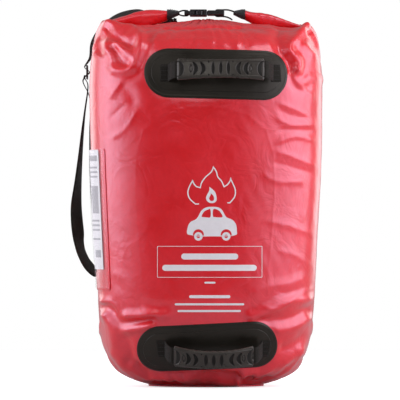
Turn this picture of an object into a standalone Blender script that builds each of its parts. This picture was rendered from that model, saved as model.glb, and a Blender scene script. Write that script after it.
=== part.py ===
"""Vehicle fire blanket packed in a roll-top carry bag, built as separate pieces.

Metres, +Z up. The origin is the centre of the flat base. The front, with the two grab handles,
faces -Y. The card pocket is on the -X side and the shoulder straps are on the +Y side.
"""

import math

import bmesh
import bpy
from mathutils import Matrix, Vector
from mathutils.bvhtree import BVHTree

# Driving dimensions
SHEET = 0.0012  # PVC-coated tarpaulin of the bag
GAP = 0.0006  # clearance between pieces that lie on each other
WEBBING = 0.038  # width of the handle and shoulder webbing
WEBBING_THICK = 0.0020
PATCH_LONG = 0.314  # grab-handle patch, end to end
PATCH_HIGH = 0.111
PATCH_THICK = 0.0014
COVER_INSET = 0.016  # how far the second layer of a patch stays inside the first
GRIP_WIDE = 0.043
GRIP_THICK = 0.0095
FINGER_GAP = 0.034  # between a patch and the inner face of its grip
# Grab handles: x and z of the patch centre, its tilt in degrees, the grip's length, how far its
# middle stands out beyond its ends, and how far it sits to the right of the patch's centre
UPPER_HANDLE = ((0.022, 0.682), -1.5, 0.188, 0.008, 0.009)
LOWER_HANDLE = ((0.002, 0.088), 3.0, 0.172, 0.020, 0.014)
POCKET_TOP = 0.520
POCKET_FLOOR = 0.212
ROLL_HIGH = 0.0145  # half height of the rolled collar
ROLL_DEEP = 0.018  # half depth of it
ROLL_WALL = 0.005  # its wound layers
ROLL_Y = 0.030
BUCKLE_Z = 0.820
BUCKLE_Y = 0.010
BUCKLE_WIDE = 0.050
SLIDER_Z = 0.692
SEGMENTS = 44  # points around the bag

# Outline of the bag, hem to neck: height, half width, half depth, squareness, y of the middle, and
# how much lower the surface is at x = 0.2 than in the middle
LEVELS = (
    (0.0045, 0.112, 0.066, 2.00, 0.000, 0.000),
    (0.0045, 0.127, 0.081, 2.00, 0.000, 0.000),
    (0.0105, 0.147, 0.098, 2.02, 0.000, 0.000),
    (0.0200, 0.170, 0.114, 2.05, 0.000, 0.000),
    (0.0340, 0.195, 0.131, 2.10, 0.000, 0.000),
    (0.0520, 0.211, 0.146, 2.20, 0.000, 0.000),
    (0.0740, 0.221, 0.160, 2.28, 0.000, 0.000),
    (0.0980, 0.2280, 0.171, 2.35, 0.000, 0.000),
    (0.1250, 0.2320, 0.179, 2.45, 0.000, 0.000),
    (0.1600, 0.2350, 0.186, 2.58, 0.000, 0.000),
    (0.2000, 0.2376, 0.190, 2.70, 0.000, 0.000),
    (0.6100, 0.2562, 0.1910, 2.70, 0.000, 0.000),
    (0.6550, 0.2568, 0.1890, 2.70, 0.000, 0.000),
    (0.6900, 0.2555, 0.1835, 2.70, 0.000, 0.000),
    (0.7180, 0.2530, 0.1750, 2.66, 0.000, 0.000),
    (0.7420, 0.2495, 0.1620, 2.60, 0.000, 0.000),
    (0.7640, 0.2435, 0.1400, 2.50, 0.002, 0.003),
    (0.7820, 0.2350, 0.1110, 2.40, 0.005, 0.008),
    (0.7930, 0.2280, 0.0860, 2.35, 0.010, 0.015),
    (0.8000, 0.2210, 0.0640, 2.30, 0.016, 0.022),
    (0.8030, 0.2150, 0.0460, 2.50, 0.022, 0.027),
    (0.7990, 0.2060, 0.0340, 3.20, 0.027, 0.028),
    (0.7900, 0.1990, 0.0260, 4.50, 0.030, 0.028),
    (0.7780, 0.1965, 0.0225, 6.00, 0.030, 0.028),
    (0.7710, 0.1955, 0.0190, 6.00, 0.030, 0.028),
    (0.7690, 0.1940, 0.0080, 6.00, 0.030, 0.028),
    (0.7700, 0.1930, 0.0028, 6.00, 0.030, 0.028),
)


# ---------------------------------------------------------------- scene, materials and helpers


def start_scene():
    for obj in list(bpy.data.objects):
        bpy.data.objects.remove(obj, do_unlink=True)
    parts = bpy.data.collections.new("vehicle_fire_blanket")
    cutters = bpy.data.collections.new("cutters")
    bpy.context.scene.collection.children.link(parts)
    bpy.context.scene.collection.children.link(cutters)
    return parts, cutters


PARTS, CUTTERS = start_scene()


def make_material(name, colour, roughness, metallic=0.0, alpha=1.0):
    material = bpy.data.materials.new(name)
    material.use_nodes = True
    shader = material.node_tree.nodes["Principled BSDF"]
    shader.inputs["Base Color"].default_value = (*colour, 1.0)
    shader.inputs["Roughness"].default_value = roughness
    shader.inputs["Metallic"].default_value = metallic
    shader.inputs["Alpha"].default_value = alpha
    return material


RED_PVC = make_material("red_pvc", (0.72, 0.03, 0.03), 0.32)
BLACK_PVC = make_material("black_pvc", (0.022, 0.021, 0.018), 0.42)
BLACK_WEBBING = make_material("black_webbing", (0.018, 0.016, 0.015), 0.85)
GRIP_RUBBER = make_material("grip_rubber", (0.035, 0.033, 0.030), 0.50)
BUCKLE_PLASTIC = make_material("buckle_plastic", (0.015, 0.015, 0.015), 0.35)
CLEAR_PVC = make_material("clear_pvc", (0.90, 0.92, 0.92), 0.10, alpha=0.3)
CARD_PAPER = make_material("card_paper", (0.85, 0.85, 0.83), 0.60)
GLASS_CLOTH = make_material("glass_cloth", (0.52, 0.52, 0.50), 0.70)
STIFF_STRIP = make_material("stiff_strip", (0.08, 0.08, 0.08), 0.45)
PRINT_FILM = make_material("print_film", (0.70, 0.03, 0.03), 0.30)


def link(obj, material=None, collection=PARTS):
    collection.objects.link(obj)
    if material:
        obj.data.materials.append(material)
    return obj


def mesh_from(bm, name, material=None, collection=PARTS):
    mesh = bpy.data.meshes.new(name)
    bm.to_mesh(mesh)
    bm.free()
    return link(bpy.data.objects.new(name, mesh), material, collection)


def face_out(obj):
    """Turns a closed body's faces outwards if they point in."""
    bm = bmesh.new()
    bm.from_mesh(obj.data)
    bmesh.ops.recalc_face_normals(bm, faces=bm.faces)
    if bm.calc_volume(signed=True) < 0:
        bmesh.ops.reverse_faces(bm, faces=bm.faces)
    bm.to_mesh(obj.data)
    bm.free()


def smooth_edges(obj, degrees=35):
    obj.data.shade_smooth()
    obj.data.set_sharp_from_angle(angle=math.radians(degrees))


def loft(name, rings, material, caps=True, collection=PARTS):
    """A skin over rings of equally many points, for bodies whose sections differ along the way."""
    bm = bmesh.new()
    rows = [[bm.verts.new(p) for p in ring] for ring in rings]
    for low, high in zip(rows, rows[1:]):
        for i, corner in enumerate(low):
            j = (i + 1) % len(low)
            bm.faces.new((corner, low[j], high[j], high[i]))
    if caps:
        bm.faces.new(rows[0])
        bm.faces.new(rows[-1])
    bmesh.ops.recalc_face_normals(bm, faces=bm.faces)
    return mesh_from(bm, name, material, collection)


def sheet_grid(name, rows, material):
    """An open surface over rows of equally many points."""
    bm = bmesh.new()
    made = [[bm.verts.new(p) for p in row] for row in rows]
    for low, high in zip(made, made[1:]):
        for i in range(len(low) - 1):
            bm.faces.new((low[i], low[i + 1], high[i + 1], high[i]))
    bmesh.ops.remove_doubles(bm, verts=bm.verts, dist=0.00002)
    return mesh_from(bm, name, material)


def solidify(obj, thickness, offset):
    modifier = obj.modifiers.new("thickness", "SOLIDIFY")
    modifier.thickness = thickness
    modifier.offset = offset
    modifier.use_even_offset = False
    return obj


def ellipse_ring(centre, half_y, half_z, count=18, squareness=2.0):
    """A closed section in the YZ plane around centre."""
    ring = []
    for k in range(count):
        angle = 2 * math.pi * k / count
        c, s = math.cos(angle), math.sin(angle)
        y = half_y * math.copysign(abs(c) ** (2 / squareness), c)
        z = half_z * math.copysign(abs(s) ** (2 / squareness), s)
        ring.append(Vector(centre) + Vector((0, y, z)))
    return ring


def smooth_path(points, steps):
    """Catmull-Rom curve through the points, with that many steps between two of them."""
    ends = [points[0] * 2 - points[1], *points, points[-1] * 2 - points[-2]]
    made = []
    for a, b, c, d in zip(ends, ends[1:], ends[2:], ends[3:]):
        for k in range(steps):
            t = k / steps
            made.append(
                0.5 * (2 * b + (c - a) * t + (2 * a - 5 * b + 4 * c - d) * t * t
                       + (3 * b - a - 3 * c + d) * t**3)
            )
    return [*made, points[-1]]


def ribbon(name, path, across, width, thickness, material):
    """Flat webbing along path. across holds the width direction at each point."""
    rings = []
    for i, point in enumerate(path):
        along = (path[min(i + 1, len(path) - 1)] - path[max(i - 1, 0)]).normalized()
        side = (across[i] - along * across[i].dot(along)).normalized()
        out = along.cross(side)
        w, t = side * width / 2, out * thickness / 2
        rings.append([point - w - t, point + w - t, point + w + t, point - w + t])
    return loft(name, rings, material)


def block(name, low, high, material=None, bevel=0.0, collection=PARTS):
    """A box between two corners, with rounded edges if bevel is given."""
    bm = bmesh.new()
    bmesh.ops.create_cube(bm, size=1.0)
    low, high = Vector(low), Vector(high)
    bmesh.ops.scale(bm, vec=high - low, verts=bm.verts)
    obj = mesh_from(bm, name, material, collection)
    obj.location = (low + high) / 2
    if bevel:
        modifier = obj.modifiers.new("edges", "BEVEL")
        modifier.width = bevel
        modifier.segments = 2
    return obj


def plate_from_outline(name, outline, low_z, high_z, material=None, collection=PARTS):
    """A flat outline in the XY plane, raised from low_z to high_z."""
    curve = bpy.data.curves.new(name, "CURVE")
    curve.dimensions = "2D"
    curve.fill_mode = "BOTH"
    curve.extrude = (high_z - low_z) / 2
    spline = curve.splines.new("POLY")
    spline.points.add(len(outline) - 1)
    for point, (x, y) in zip(spline.points, outline):
        point.co = (x, y, 0, 1)
    spline.use_cyclic_u = True
    guide = bpy.data.objects.new(name + "_outline", curve)
    bpy.context.scene.collection.objects.link(guide)
    bpy.context.view_layer.update()
    graph = bpy.context.evaluated_depsgraph_get()
    mesh = bpy.data.meshes.new_from_object(guide.evaluated_get(graph))
    bpy.data.objects.remove(guide, do_unlink=True)
    bm = bmesh.new()
    bm.from_mesh(mesh)
    bpy.data.meshes.remove(mesh)
    bmesh.ops.remove_doubles(bm, verts=bm.verts, dist=0.00001)
    bmesh.ops.translate(bm, vec=(0, 0, (low_z + high_z) / 2), verts=bm.verts)
    bmesh.ops.recalc_face_normals(bm, faces=bm.faces)
    return mesh_from(bm, name, material, collection)


def hide_cutter(cutter):
    cutter.hide_render = True
    cutter.display_type = "WIRE"
    return cutter


def boolean(obj, other, operation="DIFFERENCE"):
    modifier = obj.modifiers.new(operation.lower(), "BOOLEAN")
    modifier.operation = operation
    modifier.object = hide_cutter(other)
    return obj


# ---------------------------------------------------------------- the bag's surface


def level_at(z):
    """Half width, half depth, squareness, middle and drop of the side wall at height z."""
    for low, high in zip(LEVELS[1:], LEVELS[2:]):
        if z <= high[0]:
            t = max(0.0, (z - low[0]) / (high[0] - low[0]))
            return [a + (b - a) * t for a, b in zip(low[1:], high[1:])]
    return LEVELS[20][1:]


def ring_point(half_x, half_y, square, middle, angle):
    c, s = math.cos(angle), math.sin(angle)
    x = half_x * math.copysign(abs(c) ** (2 / square), c)
    y = half_y * math.copysign(abs(s) ** (2 / square), s)
    return x, middle + y


def wall_at(angle, z):
    half_x, half_y, square, middle, drop = level_at(z)
    x, y = ring_point(half_x, half_y, square, middle, angle)
    return Vector((x, y, z - drop * (x / 0.2) ** 2))


def wall(angle, z, lift=0.0):
    """A point at that angle and height, lifted off the bag along the outward normal."""
    around = wall_at(angle + 0.01, z) - wall_at(angle - 0.01, z)
    up = wall_at(angle, z + 0.002) - wall_at(angle, z - 0.002)
    return wall_at(angle, z) + around.cross(up).normalized() * lift


def angle_of(x, z, side):
    """The angle at which the wall has that x: side is -1 for the front and 1 for the back."""
    half_x, _, square, _, _ = level_at(z)
    return side * math.acos(math.copysign(min(1.0, abs(x) / half_x) ** (square / 2), x))


def face_point(centre, s, t, lift, side=-1):
    """The point s along and t up the front (or back) surface from centre, measured on it."""
    x, z = centre
    steps = 12
    for _ in range(steps):
        here = wall_at(angle_of(x, z, side), z)
        above = wall_at(angle_of(x, z + 0.002, side), z + 0.002)
        z += t / steps * 0.002 / (above - here).length
    for _ in range(steps):
        here = wall_at(angle_of(x, z, side), z)
        ahead = wall_at(angle_of(x + 0.002, z, side), z)
        x += s / steps * 0.002 / (ahead - here).length
    return wall(angle_of(x, z, side), z, lift)


def stadium_rows(centre, length, height, lift, side=-1, tilt=0.0):
    """Columns of points over a strip with round ends that lies on the bag."""
    radius = height / 2
    straight = length / 2 - radius
    ends = [(straight + radius * math.sin(a), radius * math.cos(a))
            for a in [math.radians(d) for d in (0, 22, 42, 60, 75, 90)]]
    middle = [(straight * k / 4, radius) for k in range(-3, 4)]
    columns = [(-s, h) for s, h in reversed(ends)] + middle + ends
    turn = Matrix.Rotation(math.radians(tilt), 2)
    rows = []
    for s, h in columns:
        flat = [turn @ Vector((s, h * k / 3)) for k in range(-3, 4)]
        rows.append([face_point(centre, p.x, p.y, lift, side) for p in flat])
    return rows


def outer_skin(obj):
    """A search tree over the faces of a piece that look away from the bag's middle."""
    bpy.context.view_layer.update()
    mesh = obj.evaluated_get(bpy.context.evaluated_depsgraph_get()).to_mesh()
    faces = []
    for face in mesh.polygons:
        away = Vector((face.center.x, 1.3 * face.center.y, 0)).normalized()
        if face.normal.dot(away) > 0.15:
            faces.append(tuple(face.vertices))
    return BVHTree.FromPolygons([v.co.copy() for v in mesh.vertices], faces)


def lay_on(rows, under, gap=GAP):
    """Lifts a grid of points until each of its facets keeps gap from the piece under it."""
    tree = outer_skin(under)
    shares = (0.0, 0.25, 0.5, 0.75, 1.0)
    for _ in range(8):
        lifts = {}
        for i in range(len(rows) - 1):
            for j in range(len(rows[0]) - 1):
                for u in shares:
                    for v in shares:
                        low = rows[i][j].lerp(rows[i + 1][j], u)
                        high = rows[i][j + 1].lerp(rows[i + 1][j + 1], u)
                        point = low.lerp(high, v)
                        near, normal, _, _ = tree.find_nearest(point)
                        short = gap - (point - near).dot(normal)
                        if short > 0.00002:
                            for key in ((i, j), (i + 1, j), (i, j + 1), (i + 1, j + 1)):
                                if short > lifts.get(key, (0, None))[0]:
                                    lifts[key] = (short, normal.copy())
        for (i, j), (short, normal) in lifts.items():
            rows[i][j] = rows[i][j] + normal * short
        if not lifts:
            break
    return rows


def outward(obj, side=-1):
    """Turns an open sheet's faces away from the bag."""
    bm = bmesh.new()
    bm.from_mesh(obj.data)
    leaning = sum(f.normal.y * f.calc_area() for f in bm.faces)
    if leaning * side < 0:
        bmesh.ops.reverse_faces(bm, faces=bm.faces)
    bm.to_mesh(obj.data)
    bm.free()
    return obj


# ---------------------------------------------------------------- bag, base and what is inside


def make_bag_body():
    rings = []
    for z, half_x, half_y, square, middle, drop in LEVELS:
        ring = []
        for k in range(SEGMENTS):
            x, y = ring_point(half_x, half_y, square, middle, 2 * math.pi * k / SEGMENTS)
            ring.append(Vector((x, y, z - drop * (x / 0.2) ** 2)))
        rings.append(ring)
    body = loft("bag_body", rings, RED_PVC, caps=False)
    solidify(body, SHEET, -1)
    smooth_edges(body, 60)
    return body


def make_base_panel():
    outline = [(0.127 * math.cos(a), 0.081 * math.sin(a))
               for a in (2 * math.pi * k / 36 for k in range(36))]
    base = plate_from_outline("base_panel", outline, 0.0, 0.0038, RED_PVC)
    smooth_edges(base, 50)


def make_fire_blanket():
    """The fan-folded blanket. Each fold stands for several plies of the coated glass cloth."""
    layers, ply, space = 19, 0.034, 0.0022
    outline = fan_outline(layers, ply, space)
    blanket = plate_from_outline("fire_blanket", outline, -1.0, 1.0, GLASS_CLOTH)
    for vertex in blanket.data.vertices:
        x, z, side = vertex.co.x, vertex.co.y, math.copysign(1, vertex.co.z)
        depth = 0.635 * level_at(min(z, 0.68))[1]
        vertex.co = (x, -side * depth, z)
    blanket.data.update()
    face_out(blanket)
    smooth_edges(blanket, 40)


def fan_outline(layers, ply, space):
    """The side view of a fan-folded strip, as one closed outline of (x, height) points."""
    bend = 4
    going, coming = [], []
    for k in range(layers):
        low = 0.0085 + k * (ply + space)
        high = low + ply
        side = 1 if k % 2 == 0 else -1
        half = 0.715 * level_at(low - 0.004)[0] - ply
        if k == 0:
            going.append((-half, low))
            coming.append((-half, high))
        if k == layers - 1:
            going.append((side * half, low))
            coming.append((side * half, high))
            break
        top = high + space / 2
        wide, tight = ply + space / 2, space / 2
        outer, inner = (wide, tight) if side > 0 else (tight, wide)
        for j in range(bend + 1):
            angle = -math.pi / 2 + math.pi * j / bend
            c, s = math.cos(angle), math.sin(angle)
            going.append((side * (half + c * outer), top + s * outer))
            coming.append((side * (half + c * inner), top + s * inner))
    return going + coming[::-1]


def make_pull_loops():
    """Webbing loops sewn to the blanket's free end, by which two people draw it out."""
    top = 0.0085 + 19 * 0.0362 - 0.0022 + 0.004
    for side, name in ((-1, "left"), (1, "right")):
        points = [Vector((side * x, y, top)) for x, y in
                  ((0.035, -0.030), (0.065, -0.034), (0.100, -0.026), (0.110, 0.000),
                   (0.100, 0.026), (0.065, 0.034), (0.035, 0.030))]
        path = smooth_path(points, 3)
        up = [Vector((0, 0, 1))] * len(path)
        ribbon(f"blanket_pull_loop_{name}", path, up, 0.006, WEBBING_THICK, BLACK_WEBBING)


# ---------------------------------------------------------------- rolled collar and its arms


def roll_height(x):
    return 0.7870 - 0.028 * (x / 0.2) ** 2


def make_collar_roll():
    stations = [-0.188 + 0.376 * k / 14 for k in range(15)]
    rings = [ellipse_ring((x, ROLL_Y, roll_height(x)), ROLL_DEEP, ROLL_HIGH) for x in stations]
    roll = loft("collar_roll", rings, RED_PVC, caps=False)
    solidify(roll, ROLL_WALL, -1)
    smooth_edges(roll)
    path = [Vector((x, ROLL_Y, roll_height(x))) for x in [-0.187, *stations[1:-1], 0.187]]
    across = [Vector((0, 1, 0))] * len(path)
    ribbon("collar_stiffener", path, across, 0.018, 0.0025, STIFF_STRIP)


ARM_LINE = ((0.0840, 0.8195), (0.1200, 0.8135), (0.1550, 0.8055), (0.1900, 0.7960),
            (0.2060, 0.7905), (0.2150, 0.7865))
ARM_HALVES = ((0.0165, 0.0140), (0.0170, 0.0140), (0.0175, 0.0140), (0.0165, 0.0130),
              (0.0150, 0.0110), (0.0130, 0.0090))


def make_collar_arm(name, side):
    """One end of the rolled collar, folded back over the top towards the buckle."""
    line = smooth_path([Vector((side * x, BUCKLE_Y, z)) for x, z in ARM_LINE], 2)
    halves = smooth_path([Vector(h) for h in ARM_HALVES], 2)
    rings = [ellipse_ring(p, h.x, h.y, 16) for p, h in zip(line, halves)]
    arm = loft(f"collar_arm_{name}", rings, RED_PVC, caps=False)
    solidify(arm, ROLL_WALL * 0.8, -1)
    smooth_edges(arm)
    across = [Vector((0, 1, 0))] * len(line[:9])
    ribbon(f"arm_stiffener_{name}", line[:9], across, 0.014, 0.0025, STIFF_STRIP)


def make_collar_end(name, side, tip):
    """The black webbing at the end of an arm, rolled at one end and flat at the buckle."""
    start = 0.0830
    shape = ((0.0, 0.0170, 0.0145), (0.30, 0.0175, 0.0135), (0.65, 0.0182, 0.0090),
             (1.0, 0.0185, 0.0040))
    rings = []
    for share, half_y, half_z in shape:
        x = start + (tip - start) * share
        z = 0.8195 + (BUCKLE_Z - 0.8195) * share
        rings.append(ellipse_ring((side * x, BUCKLE_Y, z), half_y, half_z, 16, 2.0 + share))
    end = loft(f"collar_end_{name}", rings, BLACK_WEBBING)
    smooth_edges(end)


# ---------------------------------------------------------------- side-release buckle

SOCKET_BAR = (-0.0480, -0.0410)  # x of the webbing bar
SOCKET_MOUTH = 0.0020
PLUG_END = 0.0400
PRONG_PIVOT = (0.0048, 0.0150)  # x, and distance from the buckle's middle line


def at_buckle(low, high):
    """Corners given from the buckle's middle line, as corners in the frame."""
    shift = Vector((0, BUCKLE_Y, BUCKLE_Z))
    return Vector(low) + shift, Vector(high) + shift


def make_buckle_socket():
    half = BUCKLE_WIDE / 2
    socket = block("buckle_socket", *at_buckle((-0.0360, -half, -0.0075),
                                               (SOCKET_MOUTH, half, 0.0075)),
                   BUCKLE_PLASTIC, bevel=0.0022)
    frame = block("socket_bar_frame", *at_buckle((SOCKET_BAR[0], -half, -0.0040),
                                                 (-0.0330, half, 0.0040)),
                  bevel=0.0015, collection=CUTTERS)
    boolean(socket, frame, "UNION")
    cuts = (
        ("socket_slot", (SOCKET_BAR[1], -0.0200, -0.02), (-0.0360, 0.0200, 0.02)),
        ("socket_cavity", (-0.0320, -0.0215, -0.0048), (0.0100, 0.0215, 0.0048)),
        ("socket_windows", (-0.0255, -0.04, -0.0048), (-0.0065, 0.04, 0.0048)),
    )
    for name, low, high in cuts:
        boolean(socket, block(name, *at_buckle(low, high), collection=CUTTERS))


def make_buckle_plug():
    half = BUCKLE_WIDE / 2
    plug = block("buckle_plug", *at_buckle((0.0026, -half, -0.0055), (PLUG_END, half, 0.0055)),
                 BUCKLE_PLASTIC, bevel=0.0020)
    tongue = block("plug_tongue", *at_buckle((-0.0290, -0.0040, -0.0036), (0.0060, 0.0040, 0.0036)),
                   bevel=0.0008, collection=CUTTERS)
    boolean(plug, tongue, "UNION")
    cuts = [
        ("plug_slot_inner", (0.0175, -0.0200, -0.02), (0.0228, 0.0200, 0.02)),
        ("plug_slot_outer", (0.0288, -0.0200, -0.02), (0.0345, 0.0200, 0.02)),
    ]
    for sign in (-1, 1):
        near, far = sorted((sign * 0.0122, sign * 0.0178))
        cuts.append((f"plug_notch{sign}", (-0.01, near, -0.02), (0.0076, far, 0.02)))
    for name, low, high in cuts:
        boolean(plug, block(name, *at_buckle(low, high), collection=CUTTERS))


def make_prong(name, side):
    """A sprung arm of the plug. It turns about its root, where its origin is."""
    root_x, root_y = PRONG_PIVOT
    root = [(root_x + 0.0020 * math.cos(a), root_y + 0.0020 * math.sin(a))
            for a in (math.radians(d) for d in (-90, -45, 0, 45, 90))]
    arm = [(-0.0050, 0.0178), (-0.0080, 0.0200), (-0.0080, 0.0231), (-0.0110, 0.0243),
           (-0.0190, 0.0240), (-0.0238, 0.0215), (-0.0285, 0.0165), (-0.0290, 0.0145),
           (-0.0270, 0.0130), (-0.0200, 0.0140), (-0.0100, 0.0142)]
    outline = [(x - root_x, side * (y - root_y)) for x, y in root + arm]
    prong = plate_from_outline(name, outline, -0.0040, 0.0040, BUCKLE_PLASTIC)
    prong.location = (root_x, BUCKLE_Y + side * root_y, BUCKLE_Z)


def make_buckle_webbing():
    """The loops of webbing that hold the two halves, and the loose tail on the plug's side."""
    over = 0.0040 + 0.0006 + WEBBING_THICK / 2
    left = [Vector((x, BUCKLE_Y, BUCKLE_Z + z)) for x, z in
            ((-0.0575, 0.0030), (-0.0520, over), (-0.0430, over), (-0.0395, over * 0.75),
             (-0.0385, 0.0), (-0.0395, -over * 0.75), (-0.0430, -over), (-0.0520, -over),
             (-0.0575, -0.0030))]
    path = smooth_path(left, 2)
    ribbon("buckle_webbing_left", path, [Vector((0, 1, 0))] * len(path), 0.036, WEBBING_THICK,
           BLACK_WEBBING)
    over = 0.0055 + 0.0006 + WEBBING_THICK / 2
    right = [Vector((x, BUCKLE_Y, BUCKLE_Z + z)) for x, z in
             ((0.0585, 0.0032), (0.0480, over), (0.0350, over), (0.0240, over),
              (0.0208, over * 0.72), (0.0202, 0.0), (0.0208, -over * 0.72), (0.0240, -over),
              (0.0350, -over), (0.0430, -0.0084), (0.0490, -0.0098), (0.0540, -0.0110))]
    path = smooth_path(right, 2)
    ribbon("buckle_webbing_right", path, [Vector((0, 1, 0))] * len(path), 0.036, WEBBING_THICK,
           BLACK_WEBBING)


# ---------------------------------------------------------------- grab handles


def handle_frame(centre):
    """The point on the bag at a handle's middle, and the outward and upward directions there."""
    here = face_point(centre, 0, 0, 0)
    up = (face_point(centre, 0, 0.02, 0) - face_point(centre, 0, -0.02, 0)).normalized()
    right = Vector((1, 0, 0))
    return here, up.cross(right).normalized() * -1, up


def bow(x, long, rise):
    """How far the handle stands off its patch at x from the grip's middle."""
    return FINGER_GAP + GRIP_THICK / 2 + rise * (1 - (x / (long / 2)) ** 2)


def grip_section(half_wide, half_thick, count):
    """A rounded bar section as (up, out) pairs."""
    made = []
    for k in range(count):
        angle = 2 * math.pi * (k + 0.5) / count
        c, s = math.cos(angle), math.sin(angle)
        made.append((half_wide * math.copysign(abs(c) ** 0.35, c),
                     half_thick * math.copysign(abs(s) ** 0.55, s)))
    return made


def crescent(centre, bulge, tall, wide):
    """A moon-shaped slot outline in the plane of the grip, opening towards bulge."""
    outer = [(centre + bulge * wide * math.cos(a), tall * math.sin(a))
             for a in (math.radians(-80 + 20 * k) for k in range(9))]
    inner = [(centre + bulge * wide * 0.25 * math.cos(a), tall * math.sin(a) * 0.96)
             for a in (math.radians(72 - 18 * k) for k in range(9))]
    return outer + inner


def slot_outlines():
    """The openings in a grip's face: crescents towards the ends and three ovals in the middle."""
    for side in (-1, 1):
        for distance in (0.0270, 0.0420):
            yield crescent(side * distance, -side * -1, 0.0125, 0.0085)
    for x in (-0.0115, 0.0, 0.0115):
        yield [(x + 0.0027 * math.cos(a), 0.0110 * math.sin(a))
               for a in (2 * math.pi * k / 14 for k in range(14))]


def make_grip(name, centre, long, rise, shift):
    here, out, up = handle_frame(centre)
    here = here + Vector((shift, 0, 0))

    def ring(x, half_wide, half_thick, flare):
        wide = half_wide * (1 + flare * abs(x / (long / 2)) ** 3)
        return [here + Vector((x, 0, 0)) + up * rise_by + out * (bow(x, long, rise) + stand)
                for rise_by, stand in grip_section(wide, half_thick, 16)]

    stations = [long * (k / 12 - 0.5) for k in range(13)]
    outer = [ring(x, GRIP_WIDE / 2, GRIP_THICK / 2, 0.10) for x in stations]
    inner = [ring(x, 0.0205, 0.0024, 0.0) for x in stations]
    bm = bmesh.new()
    rows = [[[bm.verts.new(p) for p in points] for points in skin] for skin in (outer, inner)]
    for skin in rows:
        for low, high in zip(skin, skin[1:]):
            for i, corner in enumerate(low):
                j = (i + 1) % len(low)
                bm.faces.new((corner, low[j], high[j], high[i]))
    for end in (0, -1):
        for i in range(16):
            j = (i + 1) % 16
            bm.faces.new((rows[0][end][i], rows[0][end][j], rows[1][end][j], rows[1][end][i]))
    bmesh.ops.recalc_face_normals(bm, faces=bm.faces)
    grip = mesh_from(bm, name, GRIP_RUBBER)
    smooth_edges(grip)
    turn = Matrix((Vector((1, 0, 0)), up, out)).transposed().to_4x4()
    for k, outline in enumerate(slot_outlines()):
        cutter = plate_from_outline(f"{name}_slot_{k}", outline, bow(0.05, long, rise),
                                    bow(0, long, rise) + 0.03, collection=CUTTERS)
        cutter.matrix_world = Matrix.Translation(here) @ turn
        boolean(grip, cutter)


def make_handle_webbing(name, centre, long, rise, shift):
    """The strap through the grip. Its ends come down to the sewn tabs."""
    here, out, up = handle_frame(centre)
    here = here + Vector((shift, 0, 0))
    half = long / 2
    end = bow(half, long, rise)
    points = [here + Vector((-half + x, 0, 0)) + out * end * share
              for x, share in ((-0.0100, 0.17), (-0.0100, 0.45), (-0.0088, 0.78), (-0.0050, 0.955))]
    for k in range(-6, 7):
        x = half * k / 6
        points.append(here + Vector((x, 0, 0)) + out * bow(x, long, rise))
    points += [here + Vector((half + x, 0, 0)) + out * end * share
               for x, share in ((0.0050, 0.955), (0.0088, 0.78), (0.0100, 0.45), (0.0100, 0.17))]
    path = [points[0]] + smooth_path(points[:5], 2)[1:-1] + points[4:-4]
    path += smooth_path(points[-5:], 2)[1:]
    ribbon(name, path, [up] * len(path), WEBBING, WEBBING_THICK, BLACK_WEBBING)


def make_handle(name, handle, body):
    centre, tilt, long, rise, shift = handle
    rows = stadium_rows(centre, PATCH_LONG, PATCH_HIGH, GAP, tilt=tilt)
    patch = sheet_grid(f"{name}_patch", lay_on(rows, body), BLACK_PVC)
    solidify(outward(patch), PATCH_THICK, 1)
    inset = 2 * COVER_INSET
    rows = stadium_rows(centre, PATCH_LONG - inset, PATCH_HIGH - inset, PATCH_THICK + GAP, tilt=tilt)
    cover = sheet_grid(f"{name}_cover", lay_on(rows, patch), BLACK_PVC)
    solidify(outward(cover), PATCH_THICK, 1)
    lift = 2 * (GAP + PATCH_THICK)
    for side, sign in (("left", -1), ("right", 1)):
        near = shift + sign * (long / 2 + 0.0115)
        columns = [near + sign * 0.017 * k / 3 for k in range(4)]
        rows = [[face_point(centre, s, WEBBING * (k / 3 - 0.5), lift) for k in range(4)]
                for s in columns]
        tab = sheet_grid(f"{name}_tab_{side}", lay_on(rows, cover), BLACK_WEBBING)
        solidify(outward(tab), WEBBING_THICK, 1)
    make_handle_webbing(f"{name}_webbing", centre, long, rise, shift)
    make_grip(f"{name}_grip", centre, long, rise, shift)


# ---------------------------------------------------------------- card pocket and print


def pocket_angle(share):
    """Angle around the left side: share 0 is the pocket's front edge and 1 its back edge."""
    front, back = math.radians(-146), math.radians(-198)
    return front + (back - front) * share


def pocket_grid(shares, heights, lift):
    return [[wall(pocket_angle(s), z, lift) for z in heights] for s in shares]


def make_card_pocket():
    heights = [POCKET_FLOOR, POCKET_FLOOR + 0.040, 0.40, POCKET_TOP]
    shares = [k / 10 for k in range(11)]
    bm = bmesh.new()
    rows = [[bm.verts.new(p) for p in row] for row in pocket_grid(shares, heights, GAP)]
    for i in range(10):
        for j in range(3):
            if j == 0 or i in (0, 9):
                bm.faces.new((rows[i][j], rows[i + 1][j], rows[i + 1][j + 1], rows[i][j + 1]))
    loose = [v for v in bm.verts if not v.link_faces]
    bmesh.ops.delete(bm, geom=loose, context="VERTS")
    bmesh.ops.recalc_face_normals(bm, faces=bm.faces)
    border = mesh_from(bm, "pocket_border", RED_PVC)
    face_left(border)
    solidify(border, 0.0018, 1)
    shares = [0.02 + 0.96 * k / 10 for k in range(11)]
    heights = [POCKET_FLOOR + 0.004, 0.37, POCKET_TOP]
    window = sheet_grid("pocket_window", pocket_grid(shares, heights, GAP + 0.0018 + 0.0003),
                        CLEAR_PVC)
    face_left(window)
    solidify(window, 0.0006, 1)
    shares = [0.135 + 0.73 * k / 8 for k in range(9)]
    card = sheet_grid("instruction_card", pocket_grid(shares, [0.2575, 0.39, 0.5180], 0.0013),
                      CARD_PAPER)
    face_left(card)
    solidify(card, 0.0004, 1)


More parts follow.
